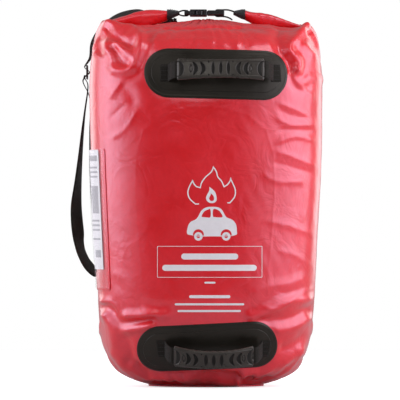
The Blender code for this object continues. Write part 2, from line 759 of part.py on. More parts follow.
def face_left(obj):
    """Turns an open sheet's faces towards -X."""
    bm = bmesh.new()
    bm.from_mesh(obj.data)
    if sum(f.normal.x * f.calc_area() for f in bm.faces) > 0:
        bmesh.ops.reverse_faces(bm, faces=bm.faces)
    bm.to_mesh(obj.data)
    bm.free()


def make_print_film():
    rows = []
    for k in range(11):
        x = -0.133 + 0.261 * k / 10
        rows.append([wall(angle_of(x, z, -1), z, GAP) for z in (0.205, 0.34, 0.475)])
    film = sheet_grid("printed_film", rows, PRINT_FILM)
    solidify(outward(film), 0.0004, 1)


# ---------------------------------------------------------------- shoulder straps


def make_slider(name, centre, across):
    """A three-bar slider. Its bars run along across."""
    centre = Vector(centre)
    slider = block(name, (-0.00175, -0.0240, -0.0155), (0.00175, 0.0240, 0.0155), BUCKLE_PLASTIC,
                   bevel=0.0010)
    for k, low in enumerate((-0.0120, 0.0022)):
        boolean(slider, block(f"{name}_slot_{k}", (-0.01, -0.0200, low), (0.01, 0.0200, low + 0.0098),
                              collection=CUTTERS))
    turn = math.atan2(across.y, across.x) - math.pi / 2
    for obj in [slider] + [m.object for m in slider.modifiers if m.type == "BOOLEAN"]:
        place = Matrix.Translation(centre) @ Matrix.Rotation(turn, 4, "Z")
        obj.matrix_world = place @ obj.matrix_basis


def make_ring(name, low_bar, high_bar, across):
    """A rectangular wire loop between two bars."""
    half = across.normalized() * 0.0225
    corners = [low_bar - half, low_bar + half, high_bar + half, high_bar - half]
    curve = bpy.data.curves.new(name, "CURVE")
    curve.dimensions = "3D"
    curve.bevel_depth = 0.0020
    curve.bevel_resolution = 2
    points = []
    for i, corner in enumerate(corners):
        before, after = corners[i - 1], corners[(i + 1) % 4]
        for toward, share in ((before, 0.0035), (corner, 0), (after, 0.0035)):
            step = (toward - corner).normalized() * share if share else Vector((0, 0, 0))
            pull = ((before - corner).normalized() + (after - corner).normalized()) * 0.0009
            points.append(corner + step + (pull if not share else Vector((0, 0, 0))))
    spline = curve.splines.new("POLY")
    spline.points.add(len(points) - 1)
    for point, co in zip(spline.points, points):
        point.co = (*co, 1)
    spline.use_cyclic_u = True
    obj = bpy.data.objects.new(name, curve)
    link(obj, BUCKLE_PLASTIC)


# Straps as (x, y, z, turn of the width from Y towards X in degrees): over the shoulder to the
# slider, from the slider down the outer strand to the ring, and from the ring back up the inner one
LEFT_UPPER = (
    (-0.0790, 0.1660, 0.7530, 90), (-0.0830, 0.1620, 0.7880, 96), (-0.1000, 0.1500, 0.8170, 118),
    (-0.1360, 0.1350, 0.8290, 150), (-0.1770, 0.1200, 0.8250, 162), (-0.2100, 0.1080, 0.8110, 170),
    (-0.2370, 0.0990, 0.7880, 178), (-0.2520, 0.0940, 0.7560, 180), (-0.2575, 0.0920, 0.7250, 180),
)
LEFT_OUTER = (
    (-0.2622, 0.0900, 0.6600, 180), (-0.2690, 0.0890, 0.6060, 182), (-0.2740, 0.0880, 0.5620, 186),
    (-0.2790, 0.0870, 0.5070, 192), (-0.2840, 0.0860, 0.4500, 202), (-0.2880, 0.0850, 0.4000, 216),
    (-0.2870, 0.0850, 0.3650, 222), (-0.2840, 0.0860, 0.3350, 222), (-0.2815, 0.0890, 0.3120, 212),
    (-0.2760, 0.0950, 0.2900, 208), (-0.2640, 0.1060, 0.2660, 209), (-0.2460, 0.1220, 0.2480, 210),
)
LEFT_INNER = (
    (-0.2250, 0.1120, 0.2640, 208), (-0.2350, 0.1060, 0.3050, 202), (-0.2470, 0.0980, 0.3800, 196),
    (-0.2545, 0.0940, 0.4700, 190), (-0.2570, 0.0920, 0.5600, 184), (-0.2570, 0.0915, 0.6300, 180),
)
RIGHT_UPPER = (
    (0.0790, 0.1660, 0.7530, 90), (0.0850, 0.1710, 0.7780, 92), (0.1000, 0.1830, 0.7900, 96),
    (0.1230, 0.1960, 0.7800, 100), (0.1440, 0.2040, 0.7550, 104), (0.1600, 0.2080, 0.7250, 108),
)
RIGHT_OUTER = (
    (0.1740, 0.2130, 0.6500, 110), (0.1860, 0.2230, 0.5900, 112), (0.1960, 0.2310, 0.5200, 114),
    (0.2040, 0.2350, 0.4500, 118), (0.2110, 0.2300, 0.3800, 124), (0.2180, 0.2100, 0.3150, 130),
    (0.2240, 0.1800, 0.2750, 136), (0.2220, 0.1590, 0.2510, 138),
)
RIGHT_INNER = (
    (0.2060, 0.1440, 0.2620, 138), (0.2100, 0.1620, 0.3050, 134), (0.2090, 0.1800, 0.3700, 128),
    (0.2030, 0.1940, 0.4500, 122), (0.1930, 0.2010, 0.5400, 114), (0.1790, 0.2030, 0.6200, 110),
)


def strap_widths(path, turns, steps):
    """Width directions along a path, turned from the Y axis towards X."""
    angles = smooth_path([Vector((a, 0)) for a in turns], steps)
    return [Vector((math.sin(math.radians(a.x)), math.cos(math.radians(a.x)), 0)) for a in angles]


def side_frame(angle, z):
    """Directions along and away from the bag's side at an angle, both level."""
    along = (wall_at(angle + 0.01, z) - wall_at(angle - 0.01, z)).normalized()
    along = Vector((along.x, along.y, 0)).normalized()
    return along, along.cross(Vector((0, 0, 1)))


def make_strap(name, angle, upper, outer, inner, slider, slider_turn):
    """The strap's webbing, its slider and its lower ring. The ring stands off the bag at angle."""
    up = Vector((0, 0, 1))
    turn = math.radians(slider_turn)
    out = Vector((-math.cos(turn), math.sin(turn), 0))
    slider = Vector(slider)
    through = [slider + out * o / 1000 + up * z / 1000 for o, z in
               ((-4.9, 14.0), (-3.9, 8.6), (5.2, 0.0), (-3.9, -8.6), (-4.9, -14.0))]
    end = [slider - out * 0.0085 - up * 0.024, slider - out * 0.0074 - up * 0.014,
           slider - out * 0.0056 - up * 0.0066]
    along, away = side_frame(angle, 0.23)
    bar = wall(angle, 0.23, 0.0) + away * 0.0105
    low_bar, high_bar = Vector((bar.x, bar.y, 0.2215)), Vector((bar.x, bar.y, 0.2365))
    reach = 0.0020 + 0.0008 + 0.0009
    loop = [high_bar + away * reach * c + up * reach * s for c, s in
            ((2.6, 1.4), (1.25, 0.45), (0.97, -0.3), (0.45, -0.93), (-0.45, -0.93), (-0.97, -0.3),
             (-1.08, 0.6), (-1.15, 2.4))]
    ring_turn = math.degrees(math.atan2(along.x, along.y))
    ring_turn += 180 * round((outer[-1][3] - ring_turn) / 180)
    points = [Vector(p[:3]) for p in upper] + through + [Vector(p[:3]) for p in outer] + loop
    points += [Vector(p[:3]) for p in inner] + end
    turns = [p[3] for p in upper] + [slider_turn] * len(through) + [p[3] for p in outer]
    turns += [ring_turn] * len(loop) + [p[3] for p in inner] + [slider_turn] * len(end)
    path = smooth_path(points, 2)
    ribbon(f"{name}_strap_webbing", path, strap_widths(path, turns, 2), WEBBING, 0.0018,
           BLACK_WEBBING)
    make_slider(f"{name}_strap_slider", slider, out.cross(up))
    make_ring(f"{name}_strap_ring", low_bar, high_bar, along)
    make_lower_anchor(name, angle, low_bar, along, away)


def make_strap_anchors(body):
    top = (0.0, 0.700)
    rows = stadium_rows(top, 0.230, 0.080, GAP, side=1)
    patch = sheet_grid("strap_top_patch", lay_on(rows, body), BLACK_PVC)
    solidify(outward(patch, 1), PATCH_THICK, 1)
    lift = GAP + PATCH_THICK
    for side, name in ((-1, "left"), (1, "right")):
        rows = [[face_point(top, side * 0.079 + w, t, lift, 1)
                 for t in (-0.025, -0.01, 0.005, 0.02, 0.034, 0.047)]
                for w in (-WEBBING / 2, 0, WEBBING / 2)]
        tab = sheet_grid(f"strap_top_tab_{name}", lay_on(rows, patch), BLACK_WEBBING)
        solidify(outward(tab, 1), WEBBING_THICK, 1)


def make_lower_anchor(name, angle, bar, along, away):
    """A small patch low on the side, and the webbing tab that holds the ring by its lower bar."""
    columns = [angle + math.radians(d) for d in (-12, -6, 0, 6, 12)]
    rows = [[wall(a, z, GAP) for z in (0.158, 0.171, 0.184, 0.197, 0.209)] for a in columns]
    body = bpy.data.objects["bag_body"]
    patch = sheet_grid(f"{name}_strap_patch", lay_on(rows, body), BLACK_PVC)
    outward(patch, 1)
    solidify(patch, PATCH_THICK, 1)
    flat = [wall(angle, z, 2 * GAP + PATCH_THICK + WEBBING_THICK / 2 + 0.0022)
            for z in (0.165, 0.180, 0.195)]
    reach = 0.0020 + 0.0006 + WEBBING_THICK / 2
    loop = [bar + away * reach * math.cos(a) + Vector((0, 0, reach * math.sin(a)))
            for a in (math.radians(d) for d in (195, 155, 115, 75, 35, -5, -45))]
    path = smooth_path(flat + loop, 2)
    ribbon(f"{name}_strap_lower_tab", path, [along] * len(path), 0.034, WEBBING_THICK,
           BLACK_WEBBING)


# ---------------------------------------------------------------- assembly


def build():
    body = make_bag_body()
    make_base_panel()
    make_fire_blanket()
    make_pull_loops()
    make_collar_roll()
    for name, side, tip in (("left", -1, 0.0585), ("right", 1, 0.0600)):
        make_collar_arm(name, side)
        make_collar_end(name, side, tip)
    make_buckle_socket()
    make_buckle_plug()
    make_prong("buckle_prong_front", -1)
    make_prong("buckle_prong_back", 1)
    make_buckle_webbing()
    make_handle("upper_handle", UPPER_HANDLE, body)
    make_handle("lower_handle", LOWER_HANDLE, body)
    make_card_pocket()
    make_print_film()
    make_strap_anchors(body)
    make_strap("left", math.radians(151), LEFT_UPPER, LEFT_OUTER, LEFT_INNER,
               (-0.2640, 0.0910, SLIDER_Z), 180)
    make_strap("right", math.radians(38), RIGHT_UPPER, RIGHT_OUTER, RIGHT_INNER,
               (0.1675, 0.2105, SLIDER_Z), 108)


build()
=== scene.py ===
"""Looks of the vehicle fire blanket in its roll-top bag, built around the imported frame.

Metres, +Z up, front towards -Y, as in the frame. Soft pieces are built here from the same
outline as the frame's bag, with folds; the moulded hardware keeps its own solids.
"""

import math

import bmesh
import bpy
import numpy as np
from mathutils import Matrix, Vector
from mathutils.bvhtree import BVHTree


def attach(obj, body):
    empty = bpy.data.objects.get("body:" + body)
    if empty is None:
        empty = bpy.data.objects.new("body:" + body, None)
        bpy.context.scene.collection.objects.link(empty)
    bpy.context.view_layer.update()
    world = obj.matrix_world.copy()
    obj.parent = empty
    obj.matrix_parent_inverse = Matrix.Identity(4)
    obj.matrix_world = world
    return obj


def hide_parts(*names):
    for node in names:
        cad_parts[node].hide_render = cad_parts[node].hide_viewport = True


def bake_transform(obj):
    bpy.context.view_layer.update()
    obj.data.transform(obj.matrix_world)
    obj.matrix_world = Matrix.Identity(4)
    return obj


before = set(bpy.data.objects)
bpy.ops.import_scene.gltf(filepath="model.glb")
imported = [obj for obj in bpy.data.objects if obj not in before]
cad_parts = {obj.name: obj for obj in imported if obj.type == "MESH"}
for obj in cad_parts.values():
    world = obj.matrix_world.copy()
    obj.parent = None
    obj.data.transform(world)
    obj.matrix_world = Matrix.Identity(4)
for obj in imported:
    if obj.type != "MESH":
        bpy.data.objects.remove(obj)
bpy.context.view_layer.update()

# Outline of the bag, hem to neck, in millimetres: height, half width, half depth, squareness,
# y of the middle, and how much lower the surface is at x = 200 than in the middle
LEVELS = np.array((
    (4.5, 112, 66, 2, 0, 0),
    (4.7, 127, 81, 2, 0, 0),
    (10.5, 147, 98, 2.02, 0, 0),
    (20, 170, 114, 2.05, 0, 0),
    (34, 195, 131, 2.1, 0, 0),
    (52, 211, 146, 2.2, 0, 0),
    (74, 221, 160, 2.28, 0, 0),
    (98, 228, 171, 2.35, 0, 0),
    (125, 232, 179, 2.45, 0, 0),
    (160, 235, 186, 2.58, 0, 0),
    (200, 237.6, 190, 2.7, 0, 0),
    (610, 256.2, 191, 2.7, 0, 0),
    (655, 256.8, 189, 2.7, 0, 0),
    (690, 255.5, 183.5, 2.7, 0, 0),
    (718, 253, 175, 2.66, 0, 0),
    (742, 249.5, 162, 2.6, 0, 0),
    (764, 243.5, 140, 2.5, 2, 3),
    (782, 235, 111, 2.4, 5, 8),
    (793, 228, 86, 2.35, 10, 15),
    (800, 221, 64, 2.3, 16, 22),
    (803, 215, 46, 2.5, 22, 27),
    (799, 206, 34, 3.2, 27, 28),
    (790, 199, 26, 4.5, 30, 28),
    (778, 196.5, 22.5, 6, 30, 28),
    (771, 195.5, 19, 6, 30, 28),
    (769, 194, 8, 6, 30, 28),
    (770, 193, 2.8, 6, 30, 28),
)) / (1000, 1000, 1000, 1, 1000, 1000)
RIM = 20  # the level at the top of the lip
SHEET = 0.0012  # thickness of the tarpaulin
WEBBING = 0.038  # width of the straps and handles
BACK, FRONT = 1, -1  # the sign of y on either face
RAY_START = 0.6  # how far out a ray at the bag starts


# ---------------------------------------------------------------- camera, stage and light


def make_camera():
    data = bpy.data.cameras.new("camera")
    data.sensor_width = 36
    data.clip_end = 100
    data.lens = 409
    camera = bpy.data.objects.new("camera", data)
    bpy.context.scene.collection.objects.link(camera)
    camera.location = (-0.0135, -10.0, 0.4085)
    camera.rotation_euler = (math.radians(90), 0, 0)
    bpy.context.scene.camera = camera


def split_by_camera(tree, seen, unseen, output):
    """Shows one shader to the camera and another to every ray that lights the object."""
    path = tree.nodes.new("ShaderNodeLightPath")
    mix = tree.nodes.new("ShaderNodeMixShader")
    tree.links.new(path.outputs["Is Camera Ray"], mix.inputs[0])
    tree.links.new(unseen.outputs[0], mix.inputs[1])
    tree.links.new(seen.outputs[0], mix.inputs[2])
    tree.links.new(mix.outputs[0], tree.nodes[output].inputs["Surface"])


def make_world():
    """A bright room that is darker in front of the bag, with a white background."""
    world = bpy.data.worlds.new("studio")
    bpy.context.scene.world = world
    world.use_nodes = True
    tree = world.node_tree
    room = tree.nodes["Background"]
    coord = tree.nodes.new("ShaderNodeTexCoord")
    split = tree.nodes.new("ShaderNodeSeparateXYZ")
    ramp = tree.nodes.new("ShaderNodeValToRGB")
    ramp.color_ramp.elements[0].position = 0.06
    ramp.color_ramp.elements[0].color = (0.10, 0.10, 0.10, 1)
    ramp.color_ramp.elements[1].position = 0.36
    ramp.color_ramp.elements[1].color = (0.92, 0.92, 0.95, 1)
    half = tree.nodes.new("ShaderNodeMapRange")
    half.inputs["From Min"].default_value = -1
    tree.links.new(coord.outputs["Generated"], split.inputs[0])
    tree.links.new(split.outputs["Y"], half.inputs["Value"])
    tree.links.new(half.outputs[0], ramp.inputs[0])
    tree.links.new(ramp.outputs[0], room.inputs["Color"])
    room.inputs["Strength"].default_value = 0.26
    white = tree.nodes.new("ShaderNodeBackground")
    white.inputs["Color"].default_value = (1, 1, 1, 1)
    split_by_camera(tree, white, room, "World Output")


def panel_light(name, centre, target, size, radiance, colour):
    data = bpy.data.lights.new(name, "AREA")
    data.shape = "RECTANGLE"
    data.size, data.size_y = size
    data.energy = radiance * math.pi * size[0] * size[1]
    data.color = colour
    light = bpy.data.objects.new(name, data)
    bpy.context.scene.collection.objects.link(light)
    light.location = centre
    light.rotation_euler = (Vector(target) - Vector(centre)).to_track_quat("-Z", "Y").to_euler()


def make_stage():
    bm = bmesh.new()
    bmesh.ops.create_circle(bm, cap_ends=True, segments=96, radius=2.3)
    bmesh.ops.translate(bm, vec=(0, 0, -0.0006), verts=bm.verts)
    mesh = bpy.data.meshes.new("floor")
    bm.to_mesh(mesh)
    bm.free()
    floor = bpy.data.objects.new("floor", mesh)
    bpy.context.scene.collection.objects.link(floor)
    pale = bpy.data.materials.new("pale_floor")
    pale.use_nodes = True
    tree = pale.node_tree
    shader = tree.nodes["Principled BSDF"]
    shader.inputs["Base Color"].default_value = (0.80, 0.80, 0.805, 1)
    shader.inputs["Roughness"].default_value = 0.8
    shader.inputs["Emission Color"].default_value = (1, 1, 1, 1)
    shader.inputs["Emission Strength"].default_value = 0.66
    dim = tree.nodes.new("ShaderNodeBsdfDiffuse")
    dim.inputs["Color"].default_value = (0.55, 0.55, 0.55, 1)
    split_by_camera(tree, shader, dim, "Material Output")
    mesh.materials.append(pale)


def make_lights():
    """Upright strips round both sides, and panels behind, above and in front."""
    bpy.context.scene.view_settings.view_transform = "Standard"
    # Turn from the front in degrees, width and radiance of each strip
    strips = {-1: ((46, 0.40, 0.6), (58, 0.44, 1.6), (72, 0.50, 2.9), (88, 0.60, 3.5),
                   (106, 0.60, 2.3)),
              1: ((24, 0.36, 0.9), (36, 0.36, 1.6), (47, 0.42, 2.2), (60, 0.50, 2.8),
                  (76, 0.60, 3.3), (96, 0.70, 2.8))}
    for side, panels in strips.items():
        for degrees, wide, radiance in panels:
            turn = math.radians(degrees)
            centre = (side * 2.0 * math.sin(turn), -2.0 * math.cos(turn), 0.98)
            panel_light(f"side_panel_{side}_{degrees}", centre, (0, 0, 0.5), (wide, 1.6),
                        radiance, (0.95, 0.93, 1.05))
        panel_light(f"rear_panel_{side}", (side * 1.4, 1.9, 0.9), (0, 0, 0.4), (1.2, 1.6),
                    1.3, (1.0, 0.98, 1.0))
    panel_light("top_panel", (0.85, -0.7, 2.3), (0, 0, 0.6), (0.9, 0.7), 4.0, (1, 0.97, 1))
    panel_light("arm_panel", (-0.9, -1.0, 2.1), (0, 0, 0.7), (0.6, 0.6), 2.6, (1, 0.95, 1))
    panel_light("fill_panel", (-0.35, -2.6, 1.75), (0, 0, 0.3), (1.1, 1.1), 1.7, (1, 1, 1))


# ---------------------------------------------------------------- materials


class Look:
    """Builds one procedural material."""

    def __init__(self, name, **sockets):
        self.material = bpy.data.materials.new(name)
        self.material.use_nodes = True
        self.tree = self.material.node_tree
        self.shader = self.tree.nodes["Principled BSDF"]
        self.coord = self.node("ShaderNodeTexCoord").outputs["Object"]
        for key, value in sockets.items():
            self.shader.inputs[key.replace("_", " ")].default_value = value

    def node(self, kind, values=(), **settings):
        made = self.tree.nodes.new(kind)
        for key, value in settings.items():
            setattr(made, key, value)
        for key, value in dict(values).items():
            if isinstance(value, bpy.types.NodeSocket):
                self.tree.links.new(value, made.inputs[key])
            else:
                made.inputs[key].default_value = value
        return made

    def noise(self, scale, detail=3.0, rough=0.55, warp=0.0):
        values = {"Vector": self.coord, "Scale": scale, "Detail": detail, "Roughness": rough,
                  "Distortion": warp}
        return self.node("ShaderNodeTexNoise", values).outputs["Fac"]

    def ranged(self, value, low, high, new_low=0.0, new_high=1.0):
        values = {"Value": value, "From Min": low, "From Max": high, "To Min": new_low,
                  "To Max": new_high}
        return self.node("ShaderNodeMapRange", values).outputs[0]

    def math(self, operation, a, b=0.0):
        return self.node("ShaderNodeMath", {0: a, 1: b}, operation=operation).outputs[0]

    def mix(self, share, a, b):
        made = self.node("ShaderNodeMix", {0: share}, data_type="RGBA")
        for key, value in ((6, a), (7, b)):
            if isinstance(value, bpy.types.NodeSocket):
                self.tree.links.new(value, made.inputs[key])
            else:
                made.inputs[key].default_value = (*value, 1)
        return made.outputs[2]

    def colour(self, value):
        self.tree.links.new(value, self.shader.inputs["Base Color"])

    def roughness(self, value):
        self.tree.links.new(value, self.shader.inputs["Roughness"])

    def bumps(self, *layers):
        normal = None
        for height, strength, distance in layers:
            values = {"Height": height, "Strength": strength, "Distance": distance}
            if normal is not None:
                values["Normal"] = normal
            normal = self.node("ShaderNodeBump", values).outputs[0]
        self.tree.links.new(normal, self.shader.inputs["Normal"])


def sheet_look(name, deep, light, rough, crinkle, crease, **sockets):
    """Coated sheet: faint clouding, polished wear, fine grain, crinkles and long creases."""
    look = Look(name, **sockets)
    cloud = look.ranged(look.noise(9, 4), 0.35, 0.65)
    speck = look.ranged(look.noise(150, 2), 0.30, 0.70)
    tone = look.mix(cloud, deep, light)
    look.colour(look.mix(look.math("MULTIPLY", speck, 0.25), tone, [c * 0.82 for c in deep]))
    look.roughness(look.ranged(look.noise(18, 3, 0.5), 0.30, 0.70, *rough))
    ridge = look.math("ABSOLUTE", look.math("SUBTRACT", look.noise(17, 3, 0.5, 0.9), 0.5))
    look.bumps((look.noise(900, 1), 0.10, 0.0003), (look.noise(45, 2, 0.45), crinkle, 0.0012),
               (ridge, crease, 0.0085))
    return look.material


def woven_look(name, dark, light):
    """Herringbone webbing. Its map runs along the strap and across it, in centimetres."""
    look = Look(name, Roughness=0.8, Sheen_Weight=0.04, Sheen_Roughness=0.5,
                Specular_IOR_Level=0.20, Specular_Tint=(1.0, 0.93, 0.82, 1))
    weave = look.node("ShaderNodeUVMap", uv_map="weave").outputs[0]
    split = look.node("ShaderNodeSeparateXYZ", {0: weave})
    tooth = look.math("PINGPONG", split.outputs["Y"], 0.19)
    slant = look.math("ADD", look.math("MULTIPLY", tooth, 0.9), split.outputs["X"])
    rows, picks = (look.math("ABSOLUTE", look.math("SINE", look.math("MULTIPLY", value, pitch)))
                   for value, pitch in ((slant, 26.0), (split.outputs["Y"], 33.0)))
    height = look.math("MULTIPLY", look.math("ADD", rows, picks), 0.5)
    fuzz = look.ranged(look.noise(700, 2), 0.3, 0.7, 0.75, 1.25)
    look.colour(look.mix(look.math("MULTIPLY", height, fuzz), dark, light))
    look.roughness(look.ranged(height, 0, 1, 0.92, 0.62))
    look.bumps((height, 0.6, 0.0004), (look.noise(300, 2), 0.15, 0.0003))
    return look.material


def moulded_look(name, deep, light, rough, grain, **sockets):
    """Moulded plastic or rubber: fine spark texture, scuffs and a slightly paler wear."""
    look = Look(name, **sockets)
    scuff = look.ranged(look.noise(70, 6, 0.7, 0.4), 0.52, 0.72)
    look.colour(look.mix(scuff, deep, light))
    look.roughness(look.ranged(look.noise(40, 4), 0.3, 0.7, *rough))
    look.bumps((look.noise(1400, 1), grain, 0.0002), (look.noise(90, 3), 0.10, 0.0006))
    return look.material


def grip_look():
    """Moulded rubber with painted shade down in its recesses; its map's U is the depth of the
    recess.
    """
    look = Look("grip", Specular_IOR_Level=0.6, Specular_Tint=(1.0, 0.95, 0.88, 1))
    depth = look.node("ShaderNodeSeparateXYZ",
                      {0: look.node("ShaderNodeUVMap", uv_map="weave").outputs[0]}).outputs["X"]
    scuff = look.ranged(look.noise(70, 6, 0.7, 0.4), 0.52, 0.72)
    face = look.mix(scuff, (0.026, 0.022, 0.017), (0.046, 0.040, 0.032))
    # Painted shade: the colour goes to near black where the recess is deep.
    look.colour(look.mix(depth, face, (0.002, 0.002, 0.0015)))
    rough = look.ranged(look.noise(40, 4), 0.3, 0.7, 0.26, 0.38)
    look.roughness(look.math("ADD", rough, look.math("MULTIPLY", depth, 0.5)))
    look.bumps((look.noise(1400, 1), 0.12, 0.0002), (look.noise(90, 3), 0.10, 0.0006))
    return look.material


def make_looks():
    looks = {
        "red_pvc": sheet_look("red_tarpaulin", (0.80, 0.006, 0.006), (0.88, 0.010, 0.010),
                              (0.30, 0.42), 0.14, 0.42, Coat_Weight=1.0, Coat_Roughness=0.25,
                              Specular_IOR_Level=0.90, Specular_Tint=(0.80, 0.70, 1.0, 1)),
        "black_pvc": sheet_look("black_tarpaulin", (0.008, 0.0066, 0.0044),
                                (0.014, 0.0118, 0.0080), (0.30, 0.44), 0.25, 0.12,
                                Specular_IOR_Level=0.42, Specular_Tint=(1.0, 0.93, 0.82, 1)),
        "black_webbing": woven_look("webbing", (0.003, 0.0025, 0.002), (0.019, 0.0165, 0.013)),
        "grip_rubber": grip_look(),
        "buckle_plastic": moulded_look("plastic", (0.009, 0.009, 0.009), (0.024, 0.024, 0.024),
                                       (0.26, 0.42), 0.12, Specular_IOR_Level=0.55),
        "stiff_strip": moulded_look("strip", (0.03, 0.03, 0.03), (0.06, 0.06, 0.06),
                                    (0.4, 0.5), 0.1),
    }
    clear = Look("clear_window", Alpha=0.07, Coat_Weight=0.5, Coat_Roughness=0.10, IOR=1.52)
    clear.colour(clear.mix(clear.noise(30, 3), (0.82, 0.72, 0.74), (0.95, 0.90, 0.91)))
    clear.roughness(clear.ranged(clear.noise(24, 4), 0.3, 0.7, 0.08, 0.2))
    clear.bumps((clear.noise(40, 3, 0.5, 1.0), 0.3, 0.002))
    looks["clear_pvc"] = clear.material
    paper = Look("card", Roughness=0.6)
    paper.colour(paper.mix(paper.noise(200, 4), (0.80, 0.80, 0.79), (0.90, 0.90, 0.89)))
    paper.bumps((paper.noise(500, 3), 0.1, 0.0002))
    looks["card_paper"] = paper.material
    ink = Look("card_print", Roughness=0.6)
    ink.colour(ink.mix(ink.noise(300, 3), (0.36, 0.36, 0.37), (0.48, 0.48, 0.49)))
    looks["card_print"] = ink.material
    white = Look("white_print", Coat_Weight=0.3, Coat_Roughness=0.25)
    white.colour(white.mix(white.noise(120, 4), (0.84, 0.81, 0.81), (0.93, 0.91, 0.91)))
    white.roughness(white.ranged(white.noise(60, 3), 0.3, 0.7, 0.34, 0.46))
    white.bumps((white.noise(600, 2), 0.12, 0.0002))
    looks["print_film"] = white.material
    cloth = Look("glass_cloth", Roughness=0.7, Sheen_Weight=0.1)
    cloth.colour(cloth.mix(cloth.noise(400, 3), (0.36, 0.36, 0.35), (0.56, 0.56, 0.54)))
    cloth.bumps((cloth.noise(1200, 2), 0.4, 0.0003))
    looks["glass_cloth"] = cloth.material
    thread = Look("thread", Roughness=0.7)
    thread.colour(thread.mix(thread.noise(2000, 2), (0.018, 0.018, 0.017), (0.05, 0.05, 0.048)))
    looks["thread"] = thread.material
    return looks


# ---------------------------------------------------------------- mesh helpers

LOOKS = make_looks()


def add_piece(name, mesh, look, body=None, nodes=()):
    """A piece that takes its finish from a slot, stands for CAD nodes and rides on a body."""
    mesh.materials.append(LOOKS[look])
    obj = bpy.data.objects.new(name, mesh)
    bpy.context.scene.collection.objects.link(obj)
    if nodes:
        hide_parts(*nodes)
    if body:
        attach(obj, body)
    return obj


def new_piece(name, points, faces, look, body=None, nodes=(), weave=None):
    """A smooth piece of points and faces. weave holds each point's map, if it has one."""
    mesh = bpy.data.meshes.new(name)
    mesh.from_pydata([tuple(p) for p in points], [], [tuple(int(i) for i in f) for f in faces])
    mesh.update()
    if weave is not None:
        layer = mesh.uv_layers.new(name="weave")
        order = np.zeros(len(mesh.loops), int)
        mesh.loops.foreach_get("vertex_index", order)
        layer.data.foreach_set("uv", np.asarray(weave, np.float32)[order].ravel())
    mesh.shade_smooth()
    return add_piece(name, mesh, look, body, nodes)


def grid_faces(rows, columns, wrap=False, start=0, flip=False):
    """Quads over a grid of points stored row by row."""
    i, j = np.meshgrid(np.arange(rows - 1), np.arange(columns if wrap else columns - 1),
                       indexing="ij")
    k = (j + 1) % columns
    quads = np.stack([i * columns + j, i * columns + k, (i + 1) * columns + k,
                      (i + 1) * columns + j], -1).reshape(-1, 4) + start
    return quads[:, ::-1] if flip else quads


def unit(v):
    return v / np.maximum(np.linalg.norm(v, axis=-1, keepdims=True), 1e-12)


def smoothstep(x, low, high):
    t = np.clip((x - low) / (high - low), 0, 1)
    return t * t * (3 - 2 * t)


def pchip(at, x, y):
    """Smooth interpolation through the rows of y that never overshoots them."""
    h = np.diff(x)[:, None]
    slope = np.diff(y, axis=0) / h
    tangent = np.zeros_like(y)
    same = slope[:-1] * slope[1:] > 0
    before, after = np.where(same, slope[:-1], 1), np.where(same, slope[1:], 1)
    w1, w2 = 2 * h[1:] + h[:-1], h[1:] + 2 * h[:-1]
    tangent[1:-1] = np.where(same, (w1 + w2) / (w1 / before + w2 / after), 0)
    tangent[0], tangent[-1] = slope[0], slope[-1]
    k = np.clip(np.searchsorted(x, at, side="right") - 1, 0, len(x) - 2)
    step = (x[k + 1] - x[k])[:, None]
    t = (at - x[k])[:, None] / step
    return ((2 * t**3 - 3 * t**2 + 1) * y[k] + (t**3 - 2 * t**2 + t) * step * tangent[k]
            + (3 * t**2 - 2 * t**3) * y[k + 1] + (t**3 - t**2) * step * tangent[k + 1])


def smooth_path(points, steps):
    """Catmull-Rom curve through the points, with that many steps between two of them."""
    p = np.asarray(points, float)
    p = np.concatenate([[2 * p[0] - p[1]], p, [2 * p[-1] - p[-2]]])
    t = (np.arange(steps) / steps)[:, None]
    made = []
    for a, b, c, d in zip(p, p[1:], p[2:], p[3:]):
        made.append(0.5 * (2 * b + (c - a) * t + (2 * a - 5 * b + 4 * c - d) * t**2
                           + (3 * b - a - 3 * c + d) * t**3))
    return np.concatenate([*made, p[-2:-1]])


def line_field(px, pz, line):
    """For each point, its distance to a line in the XZ plane and how far along that line it is."""
    line = np.asarray(line, float)
    step = line[1:] - line[:-1]
    length = np.hypot(step[:, 0], step[:, 1])
    start = np.concatenate([[0], np.cumsum(length)])
    best, where = np.full(px.shape, 9.0), np.zeros(px.shape)
    for k in range(len(step)):
        dx, dz = px - line[k, 0], pz - line[k, 1]
        t = np.clip((dx * step[k, 0] + dz * step[k, 1]) / length[k] ** 2, 0, 1)
        far = np.hypot(dx - t * step[k, 0], dz - t * step[k, 1])
        closer = far < best
        best = np.where(closer, far, best)
        where = np.where(closer, (start[k] + t * length[k]) / start[-1], where)
    return best, where


def waves(x, y, z, seed, scale):
    """Smooth wandering between about -1 and 1."""
    rng = np.random.default_rng(seed)
    total = np.zeros(np.broadcast(x, y, z).shape)
    for _ in range(7):
        k = rng.normal(size=3) / scale
        total += np.sin(x * k[0] + y * k[1] + z * k[2] + rng.uniform(0, 6.28))
    return total / 3.2


# ---------------------------------------------------------------- the bag's surface

# The bag's top edge: x and height, in millimetres
TOP_EDGE = np.array((
    (-240, 790), (-225, 800), (-212, 796.5), (-200, 794.5), (-177, 792),
    (-150, 792), (-120, 792), (-85, 793), (-64, 798), (-30, 802.5),
    (0, 805.5), (46, 802), (74, 797.5), (109, 794), (136, 792),
    (155, 788), (189, 783), (205, 784), (222.6, 790), (240, 780),
)) / 1000
